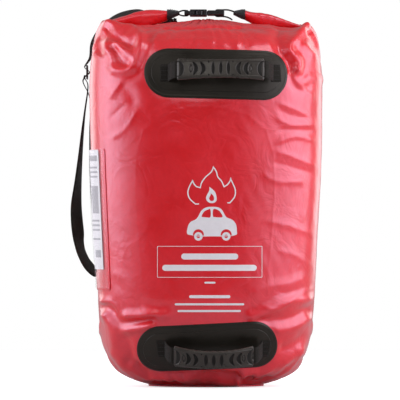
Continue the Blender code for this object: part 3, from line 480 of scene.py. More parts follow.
# Folds on the front: height off the surface, half width, sharpness and the line's (x, z), all but
# the sharpness in millimetres
FOLDS = (
    (-4.0, 4, 0.7, ((148, 786), (193, 780.5), (212, 784))),
    (-4.5, 4, 0.6, ((-150, 784), (-120.5, 784), (-47, 782), (-14.5, 784.5),
                    (24.6, 787), (47.6, 783.6), (90, 786), (140, 783))),
    (2.0, 6, 1.0, ((66, 775), (69, 752), (64, 730))),
    (-2.0, 7, 1.0, ((80, 772), (92, 750), (98, 742))),
    (2.0, 8, 1.0, ((-100, 778), (-112, 755), (-110, 742))),
    (-1.8, 8, 1.0, ((-30, 776), (-26, 758), (-34, 744))),
    (1.6, 7, 1.0, ((10, 778), (16, 760), (12, 744))),
    (3.4, 9, 1.0, ((178, 690), (202, 657.4), (235, 632))),
    (2.6, 8, 0.9, ((147, 621), (191, 606), (238, 580))),
    (-2.2, 8, 1.0, ((150, 606), (190, 590), (236, 589))),
    (3.0, 8, 0.8, ((144, 590), (184, 571), (239, 574))),
    (-2.4, 8, 1.0, ((150, 560), (200, 560), (240, 556))),
    (3.2, 7, 0.8, ((145, 530), (191, 547), (240, 537))),
    (2.8, 8, 0.9, ((144, 516.6), (184, 503), (243, 480))),
    (-2.2, 9, 1.0, ((140, 492), (190, 478), (242, 462))),
    (2.4, 8, 1.0, ((118, 467), (154, 449), (214, 450))),
    (1.8, 9, 1.0, ((118, 364), (162, 357), (236, 333))),
    (1.6, 9, 1.0, ((150, 300), (190, 290), (232, 262))),
    (2.0, 9, 1.0, ((-242, 452), (-212, 415), (-201, 378))),
    (2.2, 9, 1.0, ((-215, 538), (-176, 562), (-146, 606))),
    (2.4, 9, 1.0, ((-244, 604), (-212, 628), (-180, 668))),
    (-2.0, 9, 1.0, ((-240, 570), (-205, 590), (-170, 622))),
    (1.6, 9, 1.0, ((-198, 330), (-180, 300), (-186, 262))),
    (2.4, 7, 0.9, ((110, 184), (154, 173), (198, 203), (236, 218))),
    (2.0, 8, 1.0, ((-230, 203), (-201, 180), (-190, 160))),
    (0.55, 3, 0.6, ((-135, 150), (-135, 560), (129, 560), (129, 150))),
)
# Broad folds of the ears and the foot: height in millimetres along lines of (x, z) in millimetres
RELIEF = (
    (9, ((-214, 799), (-195, 795), (-175, 791), (-159, 783), (-149, 774), (-140, 760),
         (-141, 740), (-147, 718), (-155, 699), (-163, 692))),
    (8, ((-163, 692), (-185, 687), (-211, 694), (-235, 706), (-247, 722), (-252, 745))),
    (-7, ((-217, 788), (-209, 774), (-195, 759), (-177, 750), (-163, 746))),
    (-7, ((-244, 772), (-236, 764), (-224, 766))),
    (6, ((-194, 748), (-183, 739), (-171, 728), (-161, 713))),
    (-5, ((-199, 738), (-191, 724), (-184, 712), (-173, 704))),
    (4, ((-217, 747), (-209, 730), (-209, 714))),
    (-5, ((-237, 748), (-233, 728), (-223, 711))),
    (0, ((-127, 776), (-126, 748), (-133, 716), (-144, 690), (-162, 676))),
    (1, ((-186, 668), (-212, 676), (-238, 686))),
    (3, ((-244, 665), (-224, 652), (-206, 640))),
    (-3, ((-180, 655), (-165, 640), (-158, 620))),
    (10, ((222, 789), (208, 776), (194, 759), (182, 745), (176, 731), (186, 722), (196, 712),
          (200, 703), (193, 690))),
    (-6, ((157, 778), (154, 757), (160, 736), (171, 717), (182, 704), (186, 690))),
    (-6, ((226, 779), (236, 762), (240, 744))),
    (4, ((205, 752), (219, 740), (234, 728))),
    (0, ((128, 782), (131, 757), (140, 734))),
    (0, ((215, 706), (236, 700), (212, 682))),
    (3, ((206, 664), (222, 676), (240, 674))),
    (-3, ((184, 668), (200, 650), (222, 648))),
    (6, ((-174, 155), (-152, 156), (-135, 156), (-110, 158), (-88, 161))),
    (-5, ((-222, 178), (-205, 158), (-190, 145), (-168, 143), (-142, 147), (-118, 150))),
    (5, ((-172, 128), (-156, 132), (-141, 136), (-122, 141))),
    (5, ((-228, 200), (-222, 180), (-214, 158), (-203, 132), (-200, 108), (-198, 90))),
    (-5, ((-176, 106), (-168, 90), (-164, 70), (-170, 56))),
    (7, ((-200, 76), (-186, 60), (-170, 44), (-156, 28), (-140, 16))),
    (-7, ((-150, 46), (-130, 38), (-105, 34), (-75, 33), (-50, 31))),
    (6, ((-118, 20), (-90, 22), (-60, 18), (-30, 22))),
    (-6, ((-60, 9), (-90, 9), (-115, 10))),
    (6, ((96, 156), (118, 162), (140, 172), (162, 184), (190, 190), (220, 192))),
    (-5, ((120, 146), (150, 150), (184, 152), (220, 170))),
    (5, ((150, 124), (172, 126), (196, 134), (222, 150))),
    (-5, ((166, 84), (190, 92), (212, 110))),
    (7, ((120, 34), (140, 42), (162, 52), (186, 64), (206, 80))),
    (-7, ((-4, 32), (24, 30), (50, 26), (74, 22), (100, 18), (132, 18))),
    (6, ((30, 14), (60, 10), (90, 34), (108, 26))),
    (2, ((110, 210), (140, 222), (175, 226), (205, 236))),
    (-2, ((-190, 230), (-170, 205), (-140, 190))),
    (2, ((-205, 250), (-180, 236), (-160, 214))),
)
RELIEF_REACH = 0.030
# The same on both sides, where the lines are (y, z), and on the back
SIDE_FOLDS = (
    (3.5, 9, 1.0, ((-60, 150), (0, 118), (70, 112))),
    (-3.0, 9, 1.0, ((-40, 80), (10, 60), (90, 82))),
    (3.0, 9, 1.0, ((-90, 690), (-20, 668), (60, 690))),
    (-3.0, 10, 1.0, ((-70, 745), (-10, 708), (50, 735))),
)
BACK_FOLDS = (
    (4.0, 9, 0.8, ((-200, 745), (-150, 700), (-140, 640))),
    (-4.0, 9, 0.8, ((-225, 720), (-185, 670), (-180, 610))),
    (4.0, 9, 0.8, ((190, 755), (150, 712), (150, 655))),
    (-4.0, 9, 0.8, ((222, 730), (190, 690), (186, 620))),
    (3.0, 9, 1.0, ((-190, 150), (-90, 135), (0, 145))),
    (-3.0, 8, 1.0, ((-150, 105), (-60, 95), (40, 110))),
    (3.0, 9, 1.0, ((40, 165), (120, 140), (190, 170))),
    (-3.5, 8, 0.8, ((70, 75), (130, 50), (170, 60))),
    (3.0, 8, 0.8, ((-120, 40), (-60, 28), (10, 36))),
)
# Grab handles: x and z of the patch centre, tilt in degrees, grip length, how far its middle
# stands out, and how far it sits to the right of the patch's centre
HANDLES = {
    "upper": ((0.022, 0.682), -1.5, 0.188, 0.008, 0.009),
    "lower": ((0.002, 0.088), 3.0, 0.172, 0.020, 0.014),
}
PATCH = (0.314, 0.111)  # length and height
GRIP_HALF_UP, GRIP_HALF_OUT, GRIP_STAND = 0.0215, 0.00475, 0.034


def top_edge(x):
    """The smoothed top edge at x."""
    xs = np.linspace(-0.26, 0.26, 521)
    kernel = np.exp(-((np.arange(-12, 13) / 4.0) ** 2))
    edge = np.interp(xs, TOP_EDGE[:, 0], TOP_EDGE[:, 1])
    padded = np.pad(edge, 12, mode="edge")
    return np.interp(x, xs, np.convolve(padded, kernel / kernel.sum(), mode="valid"))


def lift_at(x):
    """How far the top edge stands above the frame's plain outline."""
    return np.clip(top_edge(x) - (0.803 - 0.027 * (x / 0.2) ** 2), -0.002, 0.030)


def bag_rows():
    step = np.diff(LEVELS[:, :3], axis=0)
    run = np.sqrt(step[:, 0] ** 2 + step[:, 2] ** 2 + 0.3 * step[:, 1] ** 2)
    s = np.concatenate([[0], np.cumsum(run)])
    fine = np.linspace(0, s[-1], 5000)
    z = pchip(fine, s, LEVELS[:, :1])[:, 0]
    gap = np.interp(z, (0, 0.07, 0.2, 0.27, 0.55, 0.64, 0.69, 0.81),
                    (0.0024, 0.0024, 0.0028, 0.0044, 0.0044, 0.0030, 0.0021, 0.0021))
    count = np.concatenate([[0], np.cumsum(np.diff(fine) / gap[1:])])
    at = np.interp(np.linspace(0, count[-1], int(count[-1]) + 1), count, fine)
    return pchip(at, s, LEVELS), at, s[RIM]


def ring_angles(front=160, back=90):
    """Angles around the bag, evenly spaced along its middle ring, finer on the front."""
    a = np.linspace(0, math.pi / 2, 2000)
    x = 0.245 * np.cos(a) ** (2 / 2.7)
    y = 0.190 * np.sin(a) ** (2 / 2.7)
    length = np.concatenate([[0], np.cumsum(np.hypot(np.diff(x), np.diff(y)))])

    def quarter(count):
        return np.interp(np.arange(count) / count * length[-1], length, a)

    rear, fore = quarter(back), quarter(front)
    flip = math.pi / 2
    return np.concatenate([rear, math.pi - np.append(rear, flip)[:0:-1],
                           math.pi + fore, 2 * math.pi - np.append(fore, flip)[:0:-1]])


def power(v, n):
    return np.sign(v) * np.abs(v) ** (2 / n)


def tilted_distance(x, z, centre, tilt, length, height, squeeze):
    """Distance inside (negative) or outside a tilted strip with round ends, seen from the front."""
    c, s = math.cos(math.radians(tilt)), math.sin(math.radians(tilt))
    dx, dz = x - centre[0], (z - centre[1]) / squeeze
    u, v = dx * c + dz * s, dz * c - dx * s
    straight = (length - height) / 2
    return np.hypot(np.maximum(np.abs(u) - straight, 0), v) - height / 2


def add_relief(push, x, z, mask):
    """Adds the smooth surface through the relief's lines, which fades out beyond its reach."""
    centres, heights = [], []
    for height, line in RELIEF:
        path = smooth_path(np.array(line) / 1000, 12)
        run = np.concatenate([[0], np.cumsum(np.hypot(*np.diff(path, axis=0).T))])
        for far in np.linspace(0, run[-1], max(2, int(run[-1] / 0.0065) + 1)):
            point = np.array([np.interp(far, run, path[:, k]) for k in (0, 1)])
            if all(np.hypot(*(point - other)) > 0.0045 for other in centres):
                centres.append(point)
                heights.append(height / 1000)
    centres = np.array(centres)

    def kernel(far):
        near = np.clip(1 - far / RELIEF_REACH, 0, 1)
        return near**4 * (4 * far / RELIEF_REACH + 1)

    apart = np.hypot(*(centres[:, None] - centres[None]).transpose(2, 0, 1))
    weights = np.linalg.solve(kernel(apart) + 0.02 * np.eye(len(centres)), heights)
    for (cx, cz), weight in zip(centres, weights):
        push += weight * kernel(np.hypot(x - cx, z - cz)) * mask


def bag_field(p, normal, outer):
    """How far each point is pushed off the plain outline by folds, welds and slack."""
    x, y, z = p[..., 0], p[..., 1], p[..., 2]
    front = smoothstep(-normal[..., 1], 0.05, 0.35)
    back = smoothstep(normal[..., 1], 0.05, 0.35)
    side = smoothstep(np.abs(normal[..., 0]), 0.45, 0.85)
    push = np.zeros_like(x)

    def add_folds(folds, across, mask):
        for amount, width, sharp, line in folds:
            far, where = line_field(across, z, smooth_path(np.array(line) / 1000, 5))
            tip = 0.003 * sharp
            shape = np.exp(-(np.sqrt(far**2 + tip**2) - tip) / (width * 0.46e-3 + far * 0.10))
            ends = smoothstep(np.minimum(where, 1 - where), -0.06, 0.22)
            push[...] += amount * 0.95e-3 * shape * ends * mask

    add_relief(push, x, z, front)
    add_folds(FOLDS, x, front)
    add_folds(BACK_FOLDS, x, back)
    add_folds(SIDE_FOLDS, y, side)
    around = np.arctan2(y, x)
    low = smoothstep(z, 0.002, 0.016) * (1 - smoothstep(z, 0.030, 0.115))
    pleat = np.sin(around * 23 + 2.2 * np.sin(around * 3 + 0.7)) * np.sin(around * 7 + 1.1)
    push += 0.0021 * low * pleat
    gather = smoothstep(z, 0.700, 0.775) * (1 - front * 0.6)
    push += 0.0016 * gather * np.sin(around * 31 + 1.7 * np.sin(around * 5))
    slack = smoothstep(z, 0.02, 0.10) * (1 - smoothstep(z, 0.70, 0.78))
    calm = 1 - 0.30 * front
    push += slack * calm * (0.0014 * waves(x, y, z * 0.6, 3, 0.060)
                            + 0.0004 * waves(x, y, z, 5, 0.022))
    push += 0.00016 * waves(x, y, z, 8, 0.010)
    push += 0.0010 * smoothstep(z, 0.690, 0.740) * waves(x, y, z, 9, 0.016)
    seam = 1 - smoothstep(np.abs(x + 0.004), 0.0125, 0.0140)
    push += back * 0.0008 * seam * (z < 0.78)
    hem = (1 - smoothstep(np.abs(z - 0.030), 0.010, 0.012)) * smoothstep(z, 0.008, 0.016)
    push += 0.0006 * hem
    keep = np.ones_like(x)
    for centre, tilt, _, _, _ in HANDLES.values():
        squeeze = 0.98 if centre[1] > 0.4 else 0.915
        inside = tilted_distance(x, z, centre, tilt, *PATCH, squeeze)
        keep *= 1 - front * 0.85 * (1 - smoothstep(inside, -0.006, 0.010))
    inside = tilted_distance(x, z, (0, 0.700), 0, 0.23, 0.08, 1.0)
    keep *= 1 - back * 0.85 * (1 - smoothstep(inside, -0.004, 0.010))
    pocket = (smoothstep(-x, 0.10, 0.16) * smoothstep(z, 0.185, 0.205)
              * (1 - smoothstep(z, 0.530, 0.550)) * (1 - smoothstep(y, 0.095, 0.115)))
    slide = (smoothstep(-x, 0.195, 0.222) * smoothstep(z, 0.185, 0.205)
             * (1 - smoothstep(z, 0.715, 0.735)) * (1 - smoothstep(y, 0.055, 0.085)))
    return push * (1 - 0.7 * pocket) * (1 - slide) * keep * outer


def make_bag():
    rows, at, rim = bag_rows()
    angle = ring_angles()
    c, s = np.cos(angle)[None, :], np.sin(angle)[None, :]
    z0, a, b, n, mid, drop = (rows[:, k, None] for k in range(6))
    x = a * power(c, n)
    y = mid + b * power(s, n)
    along = at[:, None]
    raised = np.where(along > rim, 1.0, smoothstep(z0, 0.742, 0.799))
    z = z0 - drop * (x / 0.2) ** 2 + lift_at(x) * raised
    p = np.stack([x, y, z], -1)

    def normals():
        around = np.roll(p, -1, 1) - np.roll(p, 1, 1)
        up = np.gradient(p, axis=0)
        return unit(np.cross(around, up))

    normal = normals()
    outer = 1 - smoothstep(along * np.ones_like(x), rim - 0.012, rim + 0.004)
    p += normal * bag_field(p, normal, outer)[..., None]
    lip = np.exp(-(((along - rim) / 0.010) ** 2))
    p[..., 2] += 0.0009 * lip * np.sin(x * 150 + 2 * np.sin(x * 40))
    faces = grid_faces(len(rows), len(angle), wrap=True)
    skin = new_piece("bag_skin", p.reshape(-1, 3), faces, "red_pvc", nodes=["bag_body"])
    tree = BVHTree.FromPolygons([tuple(v) for v in p.reshape(-1, 3)],
                                [tuple(int(i) for i in f) for f in faces])
    modifier = skin.modifiers.new("thickness", "SOLIDIFY")
    modifier.thickness = SHEET
    modifier.offset = -1
    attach(skin, "bag")
    return tree


def on_bag(tree, x, z, side=FRONT):
    """The point of the bag's front or back at that x and z, and the outward normal there."""
    origin, direction = Vector((x, side * RAY_START, z)), Vector((0, -side, 0))
    point, normal, _, _ = tree.ray_cast(origin, direction)
    if point is None:
        point, normal, _, _ = tree.find_nearest(origin + direction * 0.3)
    if normal.dot(direction) > 0:
        normal = -normal
    return np.array(point), np.array(normal)


# ---------------------------------------------------------------- plain outline, as in the frame


def level_at(z):
    rows = LEVELS[1:RIM + 1]
    return [float(np.interp(z, rows[:, 0], rows[:, k])) for k in range(1, 6)]


def wall_at(angle, z):
    half_x, half_y, n, mid, drop = level_at(z)
    x = half_x * power(math.cos(angle), n)
    y = mid + half_y * power(math.sin(angle), n)
    return np.array((x, y, z - drop * (x / 0.2) ** 2))


def wall(angle, z, lift=0.0):
    around = wall_at(angle + 0.01, z) - wall_at(angle - 0.01, z)
    up = wall_at(angle, z + 0.002) - wall_at(angle, z - 0.002)
    normal = unit(np.cross(around, up))
    return wall_at(angle, z) + normal * lift, normal


def on_wall(tree, angle, z, lift):
    """A point of the plain side wall, moved onto the folded bag and lifted off it."""
    point, normal = wall(angle, z)
    near = tree.ray_cast(Vector(point + normal * 0.05), Vector(-normal))[0]
    return (point if near is None else np.array(near)) + normal * lift


def on_face(centre, s, t, side=FRONT):
    """x and z of the points s along and t up from centre on the plain front or back."""
    s, t = np.broadcast_arrays(np.asarray(s, float), np.asarray(t, float))
    x, z = np.full(s.shape, float(centre[0])), np.full(s.shape, float(centre[1]))

    def depth(x, z):
        half_x, half_y, n, mid, _ = (np.interp(z, LEVELS[1:RIM + 1, 0], LEVELS[1:RIM + 1, k])
                                     for k in range(1, 6))
        bulge = np.maximum(1 - (np.abs(x) / half_x) ** n, 1e-6) ** (1 / n)
        return mid + side * half_y * bulge

    for _ in range(12):
        slope = (depth(x, z + 0.001) - depth(x, z - 0.001)) / 0.002
        z = z + t / 12 / np.sqrt(1 + slope**2)
    for _ in range(12):
        slope = (depth(x + 0.001, z) - depth(x - 0.001, z)) / 0.002
        x = x + s / 12 / np.sqrt(1 + slope**2)
    return x, z


# ---------------------------------------------------------------- ribbons, threads and patches


def section(width, thick, count=5):
    """A flat rounded webbing section as (across, out) pairs."""
    edge = thick * 0.5
    flat = np.linspace(-width / 2 + edge, width / 2 - edge, count)
    top = [(w, edge * (1 + 0.10 * math.cos(math.pi * w / width))) for w in flat]
    right = [(width / 2 - edge + edge * math.cos(t), edge * math.sin(t)) for t in (0.6, 0.0, -0.6)]
    bottom = [(w, -h) for w, h in top[::-1]]
    left = [(-w, -h) for w, h in right]
    return np.array(top + right + bottom + left)


def ribbon(name, path, across, width, thick, look, body=None, nodes=()):
    """Webbing swept along a path. across holds the width direction at each point."""
    path, across = np.asarray(path, float), np.asarray(across, float)
    along = unit(np.gradient(path, axis=0))
    side = unit(across - along * np.sum(across * along, -1, keepdims=True))
    out = np.cross(along, side)
    shape = section(width, thick)
    points = path[:, None] + side[:, None] * shape[None, :, :1] + out[:, None] * shape[None, :, 1:]
    n = len(shape)
    faces = [list(f) for f in grid_faces(len(path), n, wrap=True)]
    faces += [list(range(n))[::-1], [(len(path) - 1) * n + k for k in range(n)]]
    run = np.concatenate([[0], np.cumsum(np.linalg.norm(np.diff(path, axis=0), axis=1))])
    weave = np.stack([np.repeat(run * 100, n), np.tile(shape[:, 0] * 100 + 10, len(path))], -1)
    return new_piece(name, points.reshape(-1, 3), faces, look, body, nodes, weave)


def threads(name, stitches, body):
    """Stitches, each from one point to another, lying proud by a thread's radius."""
    radius = 0.00042
    points, faces = [], []
    for a, b, up in stitches:
        a, b, up = (np.asarray(v, float) for v in (a, b, up))
        along = unit(b - a)
        side = np.cross(along, up)
        for share, size in ((0.0, 0.55), (0.18, 1.0), (0.82, 1.0), (1.0, 0.55)):
            centre = a + (b - a) * share + up * radius * (0.2 if size < 1 else 0.8)
            for k in range(6):
                t = math.pi * k / 3
                points.append(centre + radius * size * (side * math.cos(t) + up * math.sin(t)))
        start = len(points) - 24
        faces += [list(f) for f in grid_faces(4, 6, wrap=True, start=start)]
        faces += [[start + k for k in range(6)][::-1], [start + 18 + k for k in range(6)]]
    return new_piece(name, points, faces, "thread", body)


def stitch_line(points, normals):
    """Stitches at even steps along a line of points."""
    pitch, length = 0.0040, 0.0028
    points, normals = np.asarray(points, float), np.asarray(normals, float)
    run = np.concatenate([[0], np.cumsum(np.linalg.norm(np.diff(points, axis=0), axis=1))])
    made = []
    for start in np.arange(0.001, run[-1] - length, pitch):
        ends = [[np.interp(s, run, points[:, k]) for k in range(3)]
                for s in (start, start + length)]
        up = [np.interp(start, run, normals[:, k]) for k in range(3)]
        made.append((ends[0], ends[1], unit(np.array(up))))
    return made


def stadium_grid(length, height, around=176, rings=26):
    """Rings of (s, t) points from a strip's middle line out to its edge, and the inset of each."""
    radius, straight = height / 2, (length - height) / 2
    total = 4 * straight + 2 * math.pi * radius
    middle, edge = [], []
    for k in range(around):
        d = total * k / around
        if d < 2 * straight:
            m, e = (straight - d, 0), (0, radius)
        elif d < 2 * straight + math.pi * radius:
            t = (d - 2 * straight) / radius
            m, e = (-straight, 0), (-radius * math.sin(t), radius * math.cos(t))
        elif d < 4 * straight + math.pi * radius:
            m, e = (-straight + d - 2 * straight - math.pi * radius, 0), (0, -radius)
        else:
            t = (d - 4 * straight - math.pi * radius) / radius
            m, e = (straight, 0), (radius * math.sin(t), -radius * math.cos(t))
        middle.append(m)
        edge.append(e)
    middle, edge = np.array(middle), np.array(edge)
    inside = rings // 3
    shares = np.concatenate([np.linspace(0, 0.70, inside), np.linspace(0.72, 1, rings - inside)])
    return middle[None] + edge[None] * shares[:, None, None], (1 - shares) * radius


def patch(name, tree, centre, tilt, size, base, profile, node, side=FRONT):
    """A welded patch with round ends. profile gives its height against the inset from its edge."""
    grid, inset = stadium_grid(*size)
    c, s = math.cos(math.radians(tilt)), math.sin(math.radians(tilt))
    rings, count = grid.shape[:2]
    top, under = [], []
    for ring in range(rings):
        u, v = grid[ring, :, 0], grid[ring, :, 1]
        for x, z in zip(*on_face(centre, u * c - v * s, u * s + v * c, side)):
            point, normal = on_bag(tree, x, z, side)
            top.append(point + normal * (base + profile(inset[ring])))
            under.append(point + normal * base)
    points = np.array(top + under)
    faces = [list(f) for f in grid_faces(rings, count, wrap=True, flip=side == BACK)]
    shift = len(top)
    faces += [[i + shift for i in f[::-1]] for f in faces]
    rim = (rings - 1) * count
    for k in range(count):
        j = (k + 1) % count
        quad = [rim + k, rim + j, rim + j + shift, rim + k + shift]
        faces.append(quad[::-1] if side == BACK else quad)
    obj = new_piece(name, points, faces, "black_pvc", None, [node])
    bm = bmesh.new()
    bm.from_mesh(obj.data)
    bmesh.ops.remove_doubles(bm, verts=bm.verts, dist=0.00003)
    bmesh.ops.recalc_face_normals(bm, faces=bm.faces)
    bm.to_mesh(obj.data)
    bm.free()
    obj.data.shade_smooth()
    obj.data.set_sharp_from_angle(angle=math.radians(50))
    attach(obj, "bag")


def outer_profile(inset):
    rise = 0.0014 * min(1.0, inset / 0.0012 + 0.45)
    bead = 0.0005 * math.exp(-(((inset - 0.0045) / 0.0012) ** 2))
    return rise + bead


def cover_profile(inset):
    rise = 0.0014 * min(1.0, inset / 0.0012 + 0.45)
    crown = 0.0006 * math.sin(min(1.0, inset / 0.038) * math.pi / 2)
    return rise + crown


# ---------------------------------------------------------------- grab handles


def handle_frame(centre):
    """The middle of a handle on the plain bag and the outward and upward directions there."""
    x, z = centre

    def face(z):
        half_x, half_y, n, mid, _ = level_at(z)
        return np.array((x, mid - half_y * (1 - (abs(x) / half_x) ** n) ** (1 / n), z))

    up = unit(face(z + 0.018) - face(z - 0.018))
    return face(z), np.cross(up, (1, 0, 0)) * -1, up


def bow(x, long, rise):
    """How far a grip's middle line stands off the bag at x."""
    return GRIP_STAND + GRIP_HALF_OUT + rise * (1 - (x / (long / 2)) ** 2)


def grip_recess(s, t, long):
    """How deep the pattern is cut into a grip's face, s along it and t across it."""
    depth = np.zeros_like(s)

    def cut(distance, deep, soft=0.0009):
        np.maximum(depth, deep * (1 - smoothstep(distance, -soft, soft)), out=depth)

    for side in (-1, 1):
        for far in (0.0370, 0.0530):
            u = side * s - far - 0.0050 * (t / 0.0125) ** 2
            moon = np.maximum(np.abs(u) - 0.0042 * np.sqrt(np.clip(1 - (t / 0.0142) ** 2, 0, 1)),
                              np.abs(t) - 0.0140)
            cut(moon, 0.0025)
        ring = (np.hypot((side * s - 0.0640) / 0.0030, t / 0.0072) - 1) * 0.0030
        cut(np.abs(ring) - 0.0008, 0.0016, 0.0006)
        for dot in (-0.0142, 0.0142):
            cut(np.hypot(side * s - 0.0260, t - dot) - 0.0014, 0.0020, 0.0005)
        bay = np.hypot(side * s - (long / 2 + 0.0030), t * 0.95) - 0.0170
        cut(bay, 0.0024)
    for middle in (-0.0165, 0.0, 0.0165):
        oval = (np.hypot((s - middle) / 0.0036, t / 0.0132) - 1) * 0.0036
        cut(oval, 0.0025)
    return depth


def make_grip(name, centre, long, rise, shift):
    here, out, up = handle_frame(centre)
    here = here + np.array((shift, 0, 0))
    count, stations = 160, 240
    angle = np.linspace(0, 2 * math.pi, 6001)
    ring = np.stack([power(np.cos(angle), 4.8), power(np.sin(angle), 3.2)], -1)
    run = np.hypot(np.diff(ring[:, 0]) * GRIP_HALF_UP, np.diff(ring[:, 1]) * GRIP_HALF_OUT)
    run = np.concatenate([[0], np.cumsum(run)])
    even = np.interp((np.arange(count) + 0.5) / count * run[-1], run, angle)
    section_up, section_out = power(np.cos(even), 4.8), power(np.sin(even), 3.2)
    share = np.linspace(-1, 1, stations)
    x = share * long / 2
    flare = 1 + 0.13 * np.abs(share) ** 3 - 0.060 * np.cos(share * math.pi * 0.5) ** 2
    edge = 1 - 0.16 * smoothstep(np.abs(share), 0.975, 1.0) ** 2
    half_up, half_out = GRIP_HALF_UP * flare * edge, GRIP_HALF_OUT * edge
    rows, depths = [], []
    scallop = 1 + 0.020 * np.cos(x * 2 * math.pi / 0.0150) * (np.abs(x) < 0.052)
    for k in range(stations):
        t = section_up * half_up[k] * (1 + (scallop[k] - 1) * np.abs(section_up) ** 6)
        stand = section_out * half_out[k]
        inward = 1 - (t / (half_up[k] * 1.05)) ** 2
        bite = 0.0050 * np.sign(share[k]) * smoothstep(abs(share[k]), 0.80, 1.0) * inward
        sx = x[k] - bite
        cut = grip_recess(np.full(count, x[k]), t, long) * (section_out > 0.55)
        depths.append(cut / 0.0025)
        rib = 1 - smoothstep(np.abs(np.abs(t) - 0.0172), 0.0010, 0.0022)
        stand = stand - cut + 0.0010 * (section_out > 0) * rib
        rows.append(here + sx[:, None] * np.array((1, 0, 0)) + t[:, None] * up
                    + (bow(sx, long, rise) + stand)[:, None] * out)
    outer = np.array(rows)
    inner = []
    for k in range(0, stations, 6):
        t, stand = section_up * 0.0203, section_out * 0.0021
        inner.append(here + x[k] * np.array((1, 0, 0)) + t[:, None] * up
                     + (bow(x[k], long, rise) + stand)[:, None] * out)
    inner.append(inner[-1] + (x[-1] - x[(len(inner) - 1) * 6]) * np.array((1, 0, 0)))
    inner = np.array(inner)
    points = np.concatenate([outer.reshape(-1, 3), inner.reshape(-1, 3)])
    # The map's U is each point's recess depth, which the grip's material turns into painted shade.
    recess_shade_map = np.zeros((len(points), 2))
    recess_shade_map[:stations * count, 0] = np.clip(np.array(depths).ravel(), 0, 1)
    faces = [list(f) for f in grid_faces(stations, count, wrap=True)]
    base = stations * count
    faces += [list(f) for f in grid_faces(len(inner), count, wrap=True, start=base, flip=True)]
    last = base + (len(inner) - 1) * count
    for k in range(count):
        j = (k + 1) % count
        faces.append([j, k, base + k, base + j])
        faces.append([(stations - 1) * count + k, (stations - 1) * count + j, last + j, last + k])
    return new_piece(f"{name}_grip_cover", points, faces, "grip_rubber", f"{name}_handle",
                     [f"{name}_handle_grip"], weave=recess_shade_map)


def make_handle(name, tree):
    centre, tilt, long, rise, shift = HANDLES[name]
    here, out, up = handle_frame(centre)
    label = f"{name}_handle"
    patch(f"{label}_patch_skin", tree, centre, tilt, PATCH, 0.0003, outer_profile,
          f"{label}_patch")
    size = (PATCH[0] - 0.032, PATCH[1] - 0.032)
    patch(f"{label}_cover_skin", tree, centre, tilt, size, 0.0019, cover_profile,
          f"{label}_cover")
    for side, sign in (("left", -1), ("right", 1)):
        near = shift + sign * (long / 2 + 0.0150)
        path, widths = [], []
        for k in range(9):
            s = near + sign * 0.021 * k / 8
            x, z = on_face(centre, s, 0.0)
            point, normal = on_bag(tree, float(x), float(z))
            path.append(point + normal * 0.0050)
            widths.append(up)
        ribbon(f"{label}_{side}_tab", path, widths, WEBBING, 0.002, "black_webbing", "bag",
               [f"{label}_tab_{side}"])
        seam = []
        for t in (-0.0150, -0.005, 0.005, 0.0150):
            line = [p + up * t + out * 0.0010 for p in path[1:-1]]
            seam += stitch_line(line, [out] * len(line))
        threads(f"{label}_{side}_stitches", seam, "bag")
    middle = here + np.array((shift, 0, 0))
    half = long / 2
    end = bow(half, long, rise)
    ends = ((-0.0190, 0.150), (-0.0160, 0.42), (-0.0110, 0.76), (-0.0050, 0.950))
    points = [middle + (-half + x) * np.array((1, 0, 0)) + out * end * share for x, share in ends]
    for k in range(-6, 7):
        x = half * k / 6
        points.append(middle + x * np.array((1, 0, 0)) + out * bow(x, long, rise))
    points += [middle + (half - x) * np.array((1, 0, 0)) + out * end * share
               for x, share in ends[::-1]]
    path = smooth_path(points, 5)
    web = ribbon(f"{label}_strap", path, [up] * len(path), WEBBING, 0.002, "black_webbing",
                 nodes=[f"{label}_webbing"])
    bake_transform(web)
    make_grip(name, centre, long, rise, shift)


# ---------------------------------------------------------------- collar, arms and buckle


def tube(name, centres, halves, look, node, count, seed, square=2.0, inner=True, ridges=0.0):
    """A flattened fabric tube along X with small wrinkles, and a bore where inner is set."""
    wrinkle = 0.0004
    centres, halves = np.asarray(centres, float), np.asarray(halves, float)
    angle = 2 * math.pi * np.arange(count) / count
    c, s = power(np.cos(angle), square), power(np.sin(angle), square)
    skins = []
    for inset in ((0.0, SHEET) if inner else (0.0,)):
        ring = np.stack([np.zeros((len(centres), count)),
                         (halves[:, :1] - inset) * c[None], (halves[:, 1:] - inset) * s[None]], -1)
        p = centres[:, None] + ring
        out = unit(ring * np.array((0, 1, 1)))
        x, y, z = p[..., 0], p[..., 1], p[..., 2]
        amount = wrinkle * (waves(x * 2.0, y, z, seed, 0.012)
                            + 0.5 * waves(x * 3, y * 2, z * 2, seed + 1, 0.010))
        amount += ridges * np.sin(3 * angle[None] + 1.2 * np.sin(centres[:, :1] * 38 + seed))
        skins.append(p + out * amount[..., None])
    n = len(centres)
    points = np.concatenate([k.reshape(-1, 3) for k in skins])
    faces = [list(f) for f in grid_faces(n, count, wrap=True)]
    if inner:
        faces += [list(f) for f in grid_faces(n, count, wrap=True, start=n * count, flip=True)]
        for k in range(count):
            j = (k + 1) % count
            last = (n - 1) * count
            faces.append([j, k, n * count + k, n * count + j])
            faces.append([last + k, last + j, n * count + last + j, n * count + last + k])
    else:
        faces += [list(range(count))[::-1], [(n - 1) * count + k for k in range(count)]]
    return new_piece(name, points, faces, look, nodes=[node])


